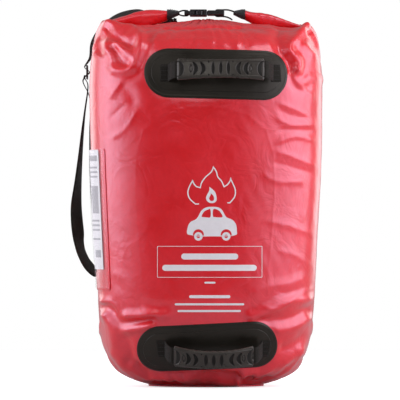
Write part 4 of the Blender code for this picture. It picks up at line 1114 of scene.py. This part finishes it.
def make_collar():
    """The rolled collar as a spiral sheet, with its stiffener in the middle."""
    xs = np.linspace(-0.188, 0.188, 120)
    height = 0.7855 - 0.028 * (xs / 0.2) ** 2 + lift_at(xs)
    centre = np.stack([xs, np.full_like(xs, 0.030), height], -1)
    turns = np.linspace(0.9, 3.4, 96) * 2 * math.pi
    radius = 0.30 + 0.70 * (turns - turns[0]) / (turns[-1] - turns[0])
    rows = []
    for p in centre:
        soft = 1 + 0.03 * waves(p[0] * 3, turns * 0.01, turns * 0.02, 12, 0.02)
        y = 0.0178 * radius * soft * np.cos(turns)
        z = 0.0142 * radius * soft * np.sin(turns)
        rows.append(p + np.stack([np.zeros_like(y), y, z], -1))
    points = np.array(rows).reshape(-1, 3)
    roll = new_piece("collar_roll_skin", points, grid_faces(len(xs), 96), "red_pvc",
                     nodes=["collar_roll"])
    modifier = roll.modifiers.new("thickness", "SOLIDIFY")
    modifier.thickness = 0.0011
    modifier.offset = 0
    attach(roll, "bag")
    path = centre[2:-2]
    ribbon("collar_strip", path, [(0, 1, 0)] * len(path), 0.0085, 0.0016, "stiff_strip", "bag",
           ["collar_stiffener"])


ARMS = {  # x and z of the middle line, half height and half depth, in millimetres
    "left": ((-83.5, 816.5, 10, 16.8), (-95, 814, 12.8, 17),
             (-107, 812, 14.6, 17.2), (-132.5, 808.5, 15.2, 17.5),
             (-150, 807.5, 13.5, 17.2), (-165, 806.2, 11.2, 16.5),
             (-180, 803.5, 8.5, 15.5), (-194, 801.5, 6.2, 14.5),
             (-206, 800.5, 5.2, 13), (-218, 798.5, 4, 10)),
    "right": ((84, 817.2, 10.5, 16.8), (96, 812.5, 12.2, 17),
              (109.5, 808.5, 13, 17.2), (128, 805, 11.8, 17.2),
              (145, 802.5, 10.3, 17), (160, 799.2, 8.4, 16.2),
              (175, 795.8, 6.6, 15.2), (190, 792.5, 5.2, 14),
              (204, 790.5, 4.4, 12.2), (216, 789.5, 3.8, 10)),
}
BUCKLE = np.array((0.0, 0.010, 0.820))


def make_arms():
    for name, side in (("left", -1), ("right", 1)):
        line = smooth_path(np.array(ARMS[name]) / 1000, 9)
        centres = np.stack([line[:, 0], np.full(len(line), 0.010), line[:, 1]], -1)
        fuller = 0.0028 * smoothstep(np.abs(line[:, 0]), 0.094, 0.125)
        fuller *= 1 - smoothstep(np.abs(line[:, 0]), 0.185, 0.214)
        halves = np.stack([line[:, 3], line[:, 2] + fuller], -1)
        arm = tube(f"arm_skin_{name}", centres, halves, "red_pvc", f"collar_arm_{name}",
                   count=72, seed=20 + side, ridges=0.0013)
        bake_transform(arm)
        inside = centres[2:46]
        ribbon(f"arm_strip_{name}", inside, [(0, 1, 0)] * len(inside), 0.014, 0.0022,
               "stiff_strip", "closure_hoop", [f"arm_stiffener_{name}"])


def make_closure():
    """Black webbing ends of the arms and the loops that hold the two halves of the buckle."""
    hoop, plug = "closure_hoop", "buckle_plug_body"
    for name, side, tip, foot in (("left", -1, 0.0585, 0.8165), ("right", 1, 0.0600, 0.8172)):
        start = 0.0860
        share = np.linspace(0, 1, 26)
        x = side * (start + (tip - start) * share)
        z = foot + (0.820 - foot) * smoothstep(share, 0.0, 1.0)
        half_z = np.interp(share, (0, 0.3, 0.65, 1), (0.0118, 0.0105, 0.0075, 0.0040))
        half_y = np.interp(share, (0, 0.3, 0.65, 1), (0.0180, 0.0182, 0.0184, 0.0185))
        centres = np.stack([x, np.full_like(x, 0.010), z], -1)
        end = tube(f"collar_end_skin_{name}", centres, np.stack([half_y, half_z], -1),
                   "black_webbing_plain", f"collar_end_{name}", count=44, seed=30 + side,
                   square=2.4, inner=False)
        if side < 0:
            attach(end, hoop)
        else:
            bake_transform(end)
    over = 0.0040 + 0.0006 + 0.001
    left = ((-0.0600, 0.0030), (-0.0520, over), (-0.0430, over), (-0.0395, over * 0.75),
            (-0.0385, 0.0), (-0.0395, -over * 0.75), (-0.0430, -over), (-0.0520, -over),
            (-0.0600, -0.0030))
    path = smooth_path([BUCKLE + np.array((x, 0, z)) for x, z in left], 5)
    ribbon("buckle_loop_left", path, [(0, 1, 0)] * len(path), 0.036, 0.002, "black_webbing",
           hoop, ["buckle_webbing_left"])
    over = 0.0055 + 0.0006 + 0.001
    right = ((0.0620, 0.0032), (0.0480, over), (0.0350, over), (0.0240, over),
             (0.0208, over * 0.72), (0.0202, 0.0), (0.0208, -over * 0.72), (0.0240, -over),
             (0.0350, -over), (0.0430, -0.0080), (0.0490, -0.0098), (0.0550, -0.0130),
             (0.0575, -0.0150))
    path = smooth_path([BUCKLE + np.array((x, 0, z)) for x, z in right], 5)
    web = ribbon("buckle_loop_right", path, [(0, 1, 0)] * len(path), 0.036, 0.002,
                 "black_webbing", None, ["buckle_webbing_right"])
    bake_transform(web)
    tail = [(-0.0800, 0.8064, -0.001), (-0.0740, 0.8062, -0.002), (-0.0675, 0.8046, -0.004),
            (-0.0715, 0.8030, -0.005), (-0.0790, 0.8026, -0.006)]
    path = smooth_path([(x, 0.010 + y, z) for x, z, y in tail], 5)
    ribbon("buckle_tail_left", path, [(0, 1, 0)] * len(path), 0.020, 0.0018, "black_webbing",
           hoop)
    seam = []
    for y in (-0.004, 0.024):
        line = [(-x, y, 0.820 + 0.0035 + (x - 0.058) * 0.22) for x in np.linspace(0.060, 0.080, 8)]
        seam += stitch_line(line, [(0, 0, 1)] * 8)
    threads("buckle_stitches", seam, hoop)


# ---------------------------------------------------------------- card pocket


def pocket_angle(share):
    return math.radians(-146 + (-198 + 146) * share)


def make_pocket(tree):
    """A welded frame, a clear window and the card behind it, wrapped round the left side."""
    width = 0.30  # length of the pocket around the side
    shares, heights = np.linspace(0, 1, 61), np.linspace(0.212, 0.520, 81)

    def surface(share, z, lift):
        return on_wall(tree, pocket_angle(share), z, lift)

    def strip(name, columns, rows, lift, thick, look, node, keep=None, body="bag"):
        top = np.array([[surface(s, z, lift(s, z) + thick) for s in columns] for z in rows])
        low = np.array([[surface(s, z, lift(s, z)) for s in columns] for z in rows])
        n, m = len(rows), len(columns)
        bm = bmesh.new()
        made = [bm.verts.new(tuple(p)) for p in np.concatenate([top.reshape(-1, 3),
                                                                low.reshape(-1, 3)])]
        cells = [(i, j) for i in range(n - 1) for j in range(m - 1)
                 if keep is None or keep((columns[j] + columns[j + 1]) / 2,
                                         (rows[i] + rows[i + 1]) / 2)]
        edges = {}
        for i, j in cells:
            a = [i * m + j, i * m + j + 1, (i + 1) * m + j + 1, (i + 1) * m + j]
            bm.faces.new([made[k] for k in a])
            bm.faces.new([made[k + n * m] for k in a[::-1]])
            for u, v in zip(a, a[1:] + a[:1]):
                if (v, u) in edges:
                    del edges[(v, u)]
                else:
                    edges[(u, v)] = True
        for u, v in edges:
            bm.faces.new([made[v], made[u], made[u + n * m], made[v + n * m]])
        bmesh.ops.delete(bm, geom=[v for v in bm.verts if not v.link_faces], context="VERTS")
        bmesh.ops.recalc_face_normals(bm, faces=bm.faces)
        mesh = bpy.data.meshes.new(name)
        bm.to_mesh(mesh)
        bm.free()
        mesh.shade_smooth()
        mesh.set_sharp_from_angle(angle=math.radians(40))
        add_piece(name, mesh, look, body, [node] if node else ())

    def rounded(share, z, inset, corner):
        u = abs(share - 0.5) * width - (width / 2 - inset - corner)
        v = abs(z - 0.366) - (0.154 - inset - corner)
        return math.hypot(max(u, 0), max(v, 0)) - corner

    def on_border(share, z):
        if rounded(share, z, 0.0, 0.010) > 0:
            return False
        return z < 0.252 or abs(share - 0.5) * width > width / 2 - 0.020

    def groove(share, z):
        edge = rounded(share, z, 0.0, 0.010)
        return 0.0003 + 0.0005 * math.exp(-(((edge + 0.005) / 0.0022) ** 2))

    strip("pocket_frame", shares, heights, groove, 0.0013, "red_pvc", "pocket_border", on_border)

    def bulge(share, z):
        inside = max(0.0, 1 - abs(2 * share - 1) ** 4) * max(0.0, 1 - abs((z - 0.39) / 0.13) ** 4)
        return 0.0042 + 0.0013 * inside + 0.0004 * math.sin(share * 23 + z * 31)

    strip("pocket_film", np.linspace(0.02, 0.98, 49), np.linspace(0.216, 0.520, 61), bulge, 0.0004,
          "clear_pvc", "pocket_window")
    strip("card_sheet", np.linspace(0.135, 0.865, 33), np.linspace(0.2575, 0.518, 41),
          lambda share, z: 0.0028, 0.0004, "card_paper", "instruction_card", body="card")
    blocks = []
    for top, high, left, right in ((0.505, 0.012, 0.18, 0.80), (0.482, 0.004, 0.18, 0.72),
                                   (0.472, 0.004, 0.18, 0.76), (0.462, 0.004, 0.18, 0.66),
                                   (0.440, 0.060, 0.18, 0.46), (0.440, 0.004, 0.52, 0.80),
                                   (0.430, 0.004, 0.52, 0.76), (0.420, 0.004, 0.52, 0.80),
                                   (0.365, 0.004, 0.18, 0.78), (0.355, 0.004, 0.18, 0.70),
                                   (0.345, 0.004, 0.18, 0.80), (0.325, 0.004, 0.18, 0.62),
                                   (0.300, 0.016, 0.18, 0.40)):
        blocks.append((top - high, top, left, right))

    def on_block(share, z):
        return any(low <= z <= high and left <= share <= right for low, high, left, right in blocks)

    strip("card_blocks", np.linspace(0.15, 0.85, 71), np.linspace(0.2655, 0.5135, 125),
          lambda share, z: 0.00325, 0.00008, "card_print", None, on_block, body="card")


# ---------------------------------------------------------------- print on the front


def flat_shape(outlines):
    """Filled 2D outlines as a mesh; an outline inside another is a hole."""
    curve = bpy.data.curves.new("outline", "CURVE")
    curve.dimensions = "2D"
    curve.fill_mode = "FRONT"
    for outline in outlines:
        spline = curve.splines.new("POLY")
        spline.points.add(len(outline) - 1)
        for point, (x, y) in zip(spline.points, outline):
            point.co = (x, y, 0, 1)
        spline.use_cyclic_u = True
    guide = bpy.data.objects.new("outline", curve)
    bpy.context.scene.collection.objects.link(guide)
    bpy.context.view_layer.update()
    graph = bpy.context.evaluated_depsgraph_get()
    mesh = bpy.data.meshes.new_from_object(guide.evaluated_get(graph))
    bpy.data.objects.remove(guide, do_unlink=True)
    bm = bmesh.new()
    bm.from_mesh(mesh)
    bpy.data.meshes.remove(mesh)
    bmesh.ops.remove_doubles(bm, verts=bm.verts, dist=0.00001)
    step = 0.004
    for axis in (Vector((1, 0, 0)), Vector((0, 1, 0))):
        along = [v.co.dot(axis) for v in bm.verts]
        for k in range(math.floor(min(along) / step), math.ceil(max(along) / step) + 1):
            geom = list(bm.verts) + list(bm.edges) + list(bm.faces)
            bmesh.ops.bisect_plane(bm, geom=geom, dist=1e-6, plane_co=axis * (k * step),
                                   plane_no=axis)
    return bm


def printed(name, outlines, tree, nodes=(), strokes=()):
    """A thin print laid on the front of the bag. A stroke is an outer and an inner loop."""
    lift, thick = 0.00018, 0.00016
    bm = flat_shape(outlines)
    for loops in strokes:
        outer, inner = ([bm.verts.new((x, z, 0)) for x, z in loop] for loop in loops)
        for a, b, c, d in zip(outer, outer[1:] + outer[:1], inner[1:] + inner[:1], inner):
            bm.faces.new((a, b, c, d))
    bm.normal_update()
    for face in bm.faces:
        if face.normal.z < 0:
            face.normal_flip()
    low = list(bm.verts)
    made = bmesh.ops.extrude_face_region(bm, geom=list(bm.faces))
    high = {v for v in made["geom"] if isinstance(v, bmesh.types.BMVert)}
    for v in low + list(high):
        point, normal = on_bag(tree, v.co.x, v.co.y)
        v.co = point + normal * (lift + (thick if v in high else 0))
    bmesh.ops.recalc_face_normals(bm, faces=bm.faces)
    mesh = bpy.data.meshes.new(name)
    bm.to_mesh(mesh)
    bm.free()
    add_piece(name, mesh, "print_film", "bag", nodes)


def closed(points, steps):
    """A smooth closed outline through the points."""
    p = np.asarray(points, float)
    made = smooth_path(np.concatenate([p[-2:], p, p[:2]]), steps)
    return [tuple(q) for q in made[2 * steps:-2 * steps]]


def circle(x, z, radius, count=40):
    return [(x + radius * math.cos(a), z + radius * math.sin(a))
            for a in (2 * math.pi * k / count for k in range(count))]


def rounded_bar(left, right, low, high, radius=None):
    radius = min(radius if radius is not None else (high - low) / 2, (high - low) / 2)
    made = []
    for cx, cz, start in ((right - radius, high - radius, 0), (left + radius, high - radius, 90),
                          (left + radius, low + radius, 180), (right - radius, low + radius, 270)):
        for k in range(7):
            a = math.radians(start + 15 * k)
            made.append((cx + radius * math.cos(a), cz + radius * math.sin(a)))
    return made


def ring_shape(left, right, low, high, radius, stroke):
    return [rounded_bar(left, right, low, high, radius),
            rounded_bar(left + stroke, right - stroke, low + stroke, high - stroke,
                        max(0.0005, radius - stroke))]


def tongue(x, low, wide, high, lean, count=56):
    """A flame's outline: round below, pointed above and leaning."""
    made = []
    for k in range(count):
        t = 2 * math.pi * (k + 0.5) / count
        up = 0.5 - 0.5 * math.cos(t)
        rise = 1 - up
        made.append((x + wide * 0.62 * math.sin(t) * math.sin(t / 2) ** 1.4
                     + lean * rise**2 - 0.10 * wide * math.sin(rise * 7.0) * rise,
                     low + high * rise))
    return made


def make_print(tree):
    mid = 0.012
    sweeps = (((-36, 0), (-49, 16), (-53, 34), (-49, 52), (-41, 70)),
              ((-41, 70), (-38, 60), (-33, 52), (-26, 49)),
              ((-26, 49), (-23, 62), (-14, 78), (-2, 92), (3, 108)),
              ((3, 108), (11, 92), (14, 78), (22, 66), (27, 52)),
              ((27, 52), (33, 57), (38, 66), (40, 76)),
              ((40, 76), (47, 58), (52, 40), (50, 20), (37, 0)))
    flame = np.concatenate([smooth_path(sweep, 6)[:-1] for sweep in sweeps])
    flame = (flame * (1.0, 0.78) + (12, 398.5)) / 1000
    ahead, behind = unit(np.roll(flame, -1, 0) - flame), unit(flame - np.roll(flame, 1, 0))
    facing = unit(np.stack([ahead[:, 1] + behind[:, 1], -ahead[:, 0] - behind[:, 0]], -1))
    bend = np.clip(np.sum(facing * np.stack([ahead[:, 1], -ahead[:, 0]], -1), -1), 0.35, 1)
    inner = flame + facing * (0.0026 / bend)[:, None]
    drops = [[(mid + x / 1000, 0.3985 + z * 0.00078) for x, z in tongue(0.003, *shape)]
             for shape in ((4, 26, 46, -4), (10, 12, 22, -2))]
    printed("print_flame", drops, tree, ["printed_film"], strokes=[(flame, inner)])
    body = closed([(x + mid, z) for x, z in
                   ((-0.052, 0.334), (-0.052, 0.350), (-0.046, 0.361), (-0.036, 0.366),
                    (-0.030, 0.372), (-0.022, 0.386), (-0.010, 0.393), (0.012, 0.393),
                    (0.022, 0.387), (0.031, 0.372), (0.044, 0.366), (0.052, 0.356),
                    (0.054, 0.342), (0.052, 0.333), (0.030, 0.330), (0.000, 0.330),
                    (-0.030, 0.330))], 5)
    window_left = closed([(x + mid, z) for x, z in
                          ((-0.022, 0.372), (-0.017, 0.383), (-0.008, 0.388), (-0.003, 0.388),
                           (-0.003, 0.372), (-0.012, 0.371))], 4)
    window_right = closed([(x + mid, z) for x, z in
                           ((0.003, 0.372), (0.003, 0.388), (0.011, 0.388), (0.018, 0.383),
                            (0.023, 0.372), (0.012, 0.371))], 4)
    wheels = (mid - 0.029, mid + 0.031)
    arches = [[(x, max(z, 0.3318)) for x, z in circle(wheel, 0.3335, 0.0118)] for wheel in wheels]
    printed("print_vehicle", [body, window_left, window_right, *arches], tree)
    for k, x in enumerate(wheels):
        printed(f"print_wheel_{k}", [circle(x, 0.3300, 0.0092), circle(x, 0.3300, 0.0038)], tree)
    printed("print_box", ring_shape(-0.106, 0.121, 0.241, 0.309, 0.0012, 0.0011), tree)
    bars = ((-0.054, 0.069, 0.2800, 0.2930), (-0.095, 0.109, 0.2555, 0.2685),
            (-0.004, 0.020, 0.2280, 0.2320), (-0.037, 0.052, 0.1965, 0.2030),
            (-0.068, 0.082, 0.1810, 0.1855), (-0.062, 0.075, 0.1665, 0.1710))
    printed("print_bars", [rounded_bar(*bar) for bar in bars], tree)


# ---------------------------------------------------------------- shoulder straps

# The webbing from its top anchor to the slider, on to the ring and back up to the slider: x, y and
# z in millimetres, and where its width points, in degrees
LEFT_UPPER = (
    (-79, 166, 753, 90), (-83, 162, 788, 96), (-100, 150, 817, 118),
    (-136, 135, 829, 150), (-177, 120, 824, 166), (-210, 108, 809.5, 180),
    (-236, 99, 787, 192), (-251, 94, 757, 194), (-257, 92, 725, 186),
)
LEFT_OUTER = (
    (-262.2, 90, 660, 180), (-269, 89, 606, 182), (-274, 88, 562, 186),
    (-279, 87, 507, 192), (-284, 86, 450, 202), (-288, 85, 400, 216),
    (-287, 85, 365, 222), (-284, 86, 335, 222), (-281.5, 89, 312, 212),
    (-276, 95, 290, 208), (-264, 106, 266, 209), (-246, 122, 248, 210),
)
LEFT_INNER = (
    (-225, 112, 264, 208), (-235, 106, 305, 202), (-247, 98, 380, 196),
    (-254.5, 94, 470, 190), (-257, 92, 560, 184), (-257, 91.5, 630, 180),
)
RIGHT_UPPER = (
    (79, 166, 753, 90), (85, 171, 778, 92), (100, 183, 790, 96),
    (123, 196, 780, 100), (144, 204, 755, 104), (160, 208, 725, 108),
)
RIGHT_OUTER = (
    (174, 213, 650, 110), (186, 223, 590, 112), (196, 231, 520, 114),
    (204, 235, 450, 118), (211, 230, 380, 124), (218, 210, 315, 130),
    (224, 180, 275, 136), (222, 159, 251, 138),
)
RIGHT_INNER = (
    (206, 144, 262, 138), (210, 162, 305, 134), (209, 180, 370, 128),
    (203, 194, 450, 122), (193, 201, 540, 114), (179, 203, 620, 110),
)
# Side of the bag in degrees, the three runs, the slider's middle and its turn in degrees
STRAPS = {
    "left": (151, LEFT_UPPER, LEFT_OUTER, LEFT_INNER, (-0.2640, 0.0910, 0.692), 180),
    "right": (38, RIGHT_UPPER, RIGHT_OUTER, RIGHT_INNER, (0.1675, 0.2105, 0.692), 108),
}


def side_frame(angle, z):
    along = wall_at(angle + 0.01, z) - wall_at(angle - 0.01, z)
    along = unit(along * np.array((1, 1, 0)))
    return along, np.cross(along, (0, 0, 1))


def width_directions(turns, steps):
    angle = np.radians(smooth_path(np.array(turns, float)[:, None], steps)[:, 0])
    return np.stack([np.sin(angle), np.cos(angle), np.zeros_like(angle)], -1)


def make_strap(name):
    degrees, upper, outer, inner, slider, slider_turn = STRAPS[name]
    up = np.array((0, 0, 1.0))
    turn = math.radians(slider_turn)
    out = np.array((-math.cos(turn), math.sin(turn), 0))
    slider = np.array(slider)
    through = [slider + out * o / 1000 + up * z / 1000 for o, z in
               ((-4.9, 14.0), (-3.9, 8.6), (5.2, 0.0), (-3.9, -8.6), (-4.9, -14.0))]
    end = [slider - out * 0.0085 - up * 0.024, slider - out * 0.0074 - up * 0.014,
           slider - out * 0.0056 - up * 0.0066]
    along, away = side_frame(math.radians(degrees), 0.23)
    bar = wall(math.radians(degrees), 0.23)[0] + away * 0.0105
    low_bar, high_bar = np.array((bar[0], bar[1], 0.2215)), np.array((bar[0], bar[1], 0.2365))
    reach = 0.0037
    loop = [high_bar + away * reach * c + up * reach * s for c, s in
            ((2.6, 1.4), (1.25, 0.45), (0.97, -0.3), (0.45, -0.93), (-0.45, -0.93), (-0.97, -0.3),
             (-1.08, 0.6), (-1.15, 2.4))]
    ring_turn = math.degrees(math.atan2(along[0], along[1]))
    ring_turn += 180 * round((outer[-1][3] - ring_turn) / 180)
    upper_run, outer_run, inner_run = ([np.array(p[:3]) / 1000 for p in run]
                                       for run in (upper, outer, inner))
    points = upper_run + through + outer_run + loop + inner_run + end
    turns = [p[3] for p in upper] + [slider_turn] * len(through) + [p[3] for p in outer]
    turns += [ring_turn] * len(loop) + [p[3] for p in inner] + [slider_turn] * len(end)
    steps = 6
    path, widths = smooth_path(points, steps), width_directions(turns, steps)
    if name == "left":  # the webbing leans forwards where it goes over the shoulder
        lean = smoothstep(-path[:, 0], 0.105, 0.150) * smoothstep(path[:, 2], 0.745, 0.800)
        widths[:, 2] = 0.30 * lean * widths[:, 1]
    cut = (len(upper) + 2) * steps
    top = ribbon(f"{name}_strap_upper", path[:cut + 1], widths[:cut + 1], WEBBING, 0.0018,
                 "black_webbing", None, [f"{name}_strap_webbing"])
    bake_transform(top)
    low = ribbon(f"{name}_strap_lower", path[cut:], widths[cut:], WEBBING, 0.0018,
                 "black_webbing")
    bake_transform(low)
    tab_points = [point + facing * 0.0064 for point, facing in
                  (wall(math.radians(degrees), z) for z in (0.165, 0.180, 0.195))]
    around = [low_bar + away * 0.0036 * math.cos(a) + up * 0.0036 * math.sin(a)
              for a in (math.radians(d) for d in (195, 155, 115, 75, 35, -5, -45, -80))]
    normal = wall(math.radians(degrees), 0.18)[1]
    down = [p + normal * 0.0021 for p in tab_points[::-1]]
    path = smooth_path(tab_points + around + down, 5)
    ribbon(f"{name}_lower_tab", path, [along] * len(path), 0.034, 0.0018, "black_webbing", "bag",
           [f"{name}_strap_lower_tab"])
    seam = []
    for t in (-0.013, -0.004, 0.004, 0.013):
        line = [p + along * t + normal * 0.0010 for p in down]
        seam += stitch_line(smooth_path(line, 4), [normal] * (4 * (len(line) - 1) + 1))
    threads(f"{name}_tab_stitches", seam, "bag")


def make_lower_patch(name, tree):
    """The small welded patch low on the side that carries the ring."""
    degrees = STRAPS[name][0]
    shares = np.linspace(-1, 1, 33)
    n = len(shares)

    def laid(u, v, lift):
        angle = math.radians(degrees + 12.5 * (u * math.sqrt(1 - 0.20 * v**4)))
        return on_wall(tree, angle, 0.1835 + 0.0265 * (v * math.sqrt(1 - 0.20 * u**4)), lift)

    top, low = [], []
    for v in shares:
        for u in shares:
            inset = 1 - max(abs(u), abs(v))
            bead = 0.0006 * math.exp(-((inset - 0.16) / 0.06) ** 2)
            rise = 0.0014 * min(1.0, inset / 0.05 + 0.2)
            top.append(laid(u, v, 0.0004 + rise + bead))
            low.append(laid(u, v, 0.0003))
    faces = [list(f) for f in grid_faces(n, n)]
    faces += [[i + n * n for i in f[::-1]] for f in faces]
    loop = [k for k in range(n)] + [n * k + n - 1 for k in range(1, n)]
    loop += [n * (n - 1) + k for k in range(n - 2, -1, -1)] + [n * k for k in range(n - 2, 0, -1)]
    faces += [[b, a, a + n * n, b + n * n] for a, b in zip(loop, loop[1:] + loop[:1])]
    new_piece(f"{name}_lower_patch", top + low, faces, "black_pvc", "bag",
              [f"{name}_strap_patch"])


def make_top_anchor(tree):
    patch("strap_patch_skin", tree, (0.0, 0.700), 0, (0.230, 0.080), 0.0003, outer_profile,
          "strap_top_patch", side=BACK)
    for name, side in (("left", -1), ("right", 1)):
        path, normals = [], []
        for z in np.linspace(0.676, 0.7475, 16):
            point, normal = on_bag(tree, side * 0.079, z, BACK)
            path.append(point + normal * 0.0030)
            normals.append(normal)
        ribbon(f"strap_top_{name}", path, [(1, 0, 0)] * len(path), WEBBING, 0.002,
               "black_webbing", "bag", [f"strap_top_tab_{name}"])
        path, normals = np.array(path), np.array(normals)
        seam = []
        for t in (-0.015, 0.015):
            line = path[1:9] + np.array((t, 0, 0)) + normals[1:9] * 0.001
            seam += stitch_line(line, normals[1:9])
        for slant in (1, -1):
            line = [path[k] + np.array((slant * 0.015 * (2 * (k - 1) / 7 - 1), 0, 0))
                    + normals[k] * 0.001 for k in range(1, 9)]
            seam += stitch_line(line, normals[1:9])
        for k in (1, 8):
            line = [path[k] + np.array((t, 0, 0)) + normals[k] * 0.001
                    for t in np.linspace(-0.015, 0.015, 8)]
            seam += stitch_line(line, [normals[k]] * 8)
        threads(f"strap_top_stitches_{name}", seam, "bag")


# ---------------------------------------------------------------- what is inside


def make_blanket():
    """The 6 by 8 metre cloth, folded to a strip and laid to and fro."""
    layers, depth_cells, width_cells = 667, 4, 8
    low, high = 0.0100, 0.6945
    pitch = (high - low) / layers
    rows = []
    v = np.linspace(-1, 1, depth_cells + 1)
    for k in range(layers):
        z = low + pitch * (k + 0.5)
        half_x, half_y = level_at(z)[:2]
        a, b = 0.622 * half_x, 0.635 * half_y
        run = 1 if k % 2 == 0 else -1
        places = [(run * (2 * j / width_cells - 1), z) for j in range(width_cells + 1)]
        if k < layers - 1:
            places.append((run * 1.004, z + pitch / 2))
        for u, height in places:
            wave = 0.0010 * np.sin(7 * u + 2.0 * v) + 0.0006 * np.sin(11 * v + 3 * u)
            rows.append(np.stack([np.full_like(v, a * u), b * v, height + wave], -1))
    points = np.array(rows).reshape(-1, 3)
    blanket = new_piece("blanket_cloth", points, grid_faces(len(rows), depth_cells + 1),
                        "glass_cloth", "bag", ["fire_blanket"])
    top = 0.0085 + 19 * 0.0362 - 0.0022 + 0.004
    for side, name in ((-1, "left"), (1, "right")):
        points = [(side * x, y, top) for x, y in
                  ((0.035, -0.030), (0.065, -0.034), (0.100, -0.026), (0.110, 0.000),
                   (0.100, 0.026), (0.065, 0.034), (0.035, 0.030))]
        path = smooth_path(points, 6)
        ribbon(f"pull_loop_{name}", path, [(0, 0, 1)] * len(path), 0.006, 0.002,
                            "black_webbing", "bag", [f"blanket_pull_loop_{name}"])


def finish_hardware():
    """The moulded pieces keep their solids and get their finish."""
    plastic = ("buckle_socket", "buckle_plug", "buckle_prong_front", "buckle_prong_back",
               "left_strap_slider", "right_strap_slider", "left_strap_ring", "right_strap_ring")
    looks = {"base_panel": "red_pvc", **dict.fromkeys(plastic, "buckle_plastic")}
    for node, look in looks.items():
        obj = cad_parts[node]
        for slot in obj.material_slots:
            slot.material = LOOKS[look]


def plain_webbing():
    look = Look("rolled_webbing", Roughness=0.75, Sheen_Weight=0.15)
    weave = look.node("ShaderNodeTexWave", {"Vector": look.coord, "Scale": 420.0,
                                            "Distortion": 0.4}, bands_direction="Y")
    cross = look.node("ShaderNodeTexWave", {"Vector": look.coord, "Scale": 300.0,
                                            "Distortion": 0.4}, bands_direction="X")
    height = look.math("MULTIPLY", weave.outputs["Fac"], cross.outputs["Fac"])
    look.colour(look.mix(height, (0.006, 0.006, 0.006), (0.030, 0.029, 0.028)))
    look.bumps((height, 0.5, 0.0004), (look.noise(60, 3), 0.3, 0.002))
    LOOKS["black_webbing_plain"] = look.material


def build():
    make_camera()
    make_world()
    make_lights()
    make_stage()
    plain_webbing()
    tree = make_bag()
    make_blanket()
    make_collar()
    make_arms()
    make_closure()
    for name in HANDLES:
        make_handle(name, tree)
    make_pocket(tree)
    make_print(tree)
    make_top_anchor(tree)
    for name in STRAPS:
        make_lower_patch(name, tree)
        make_strap(name)
    finish_hardware()


build()
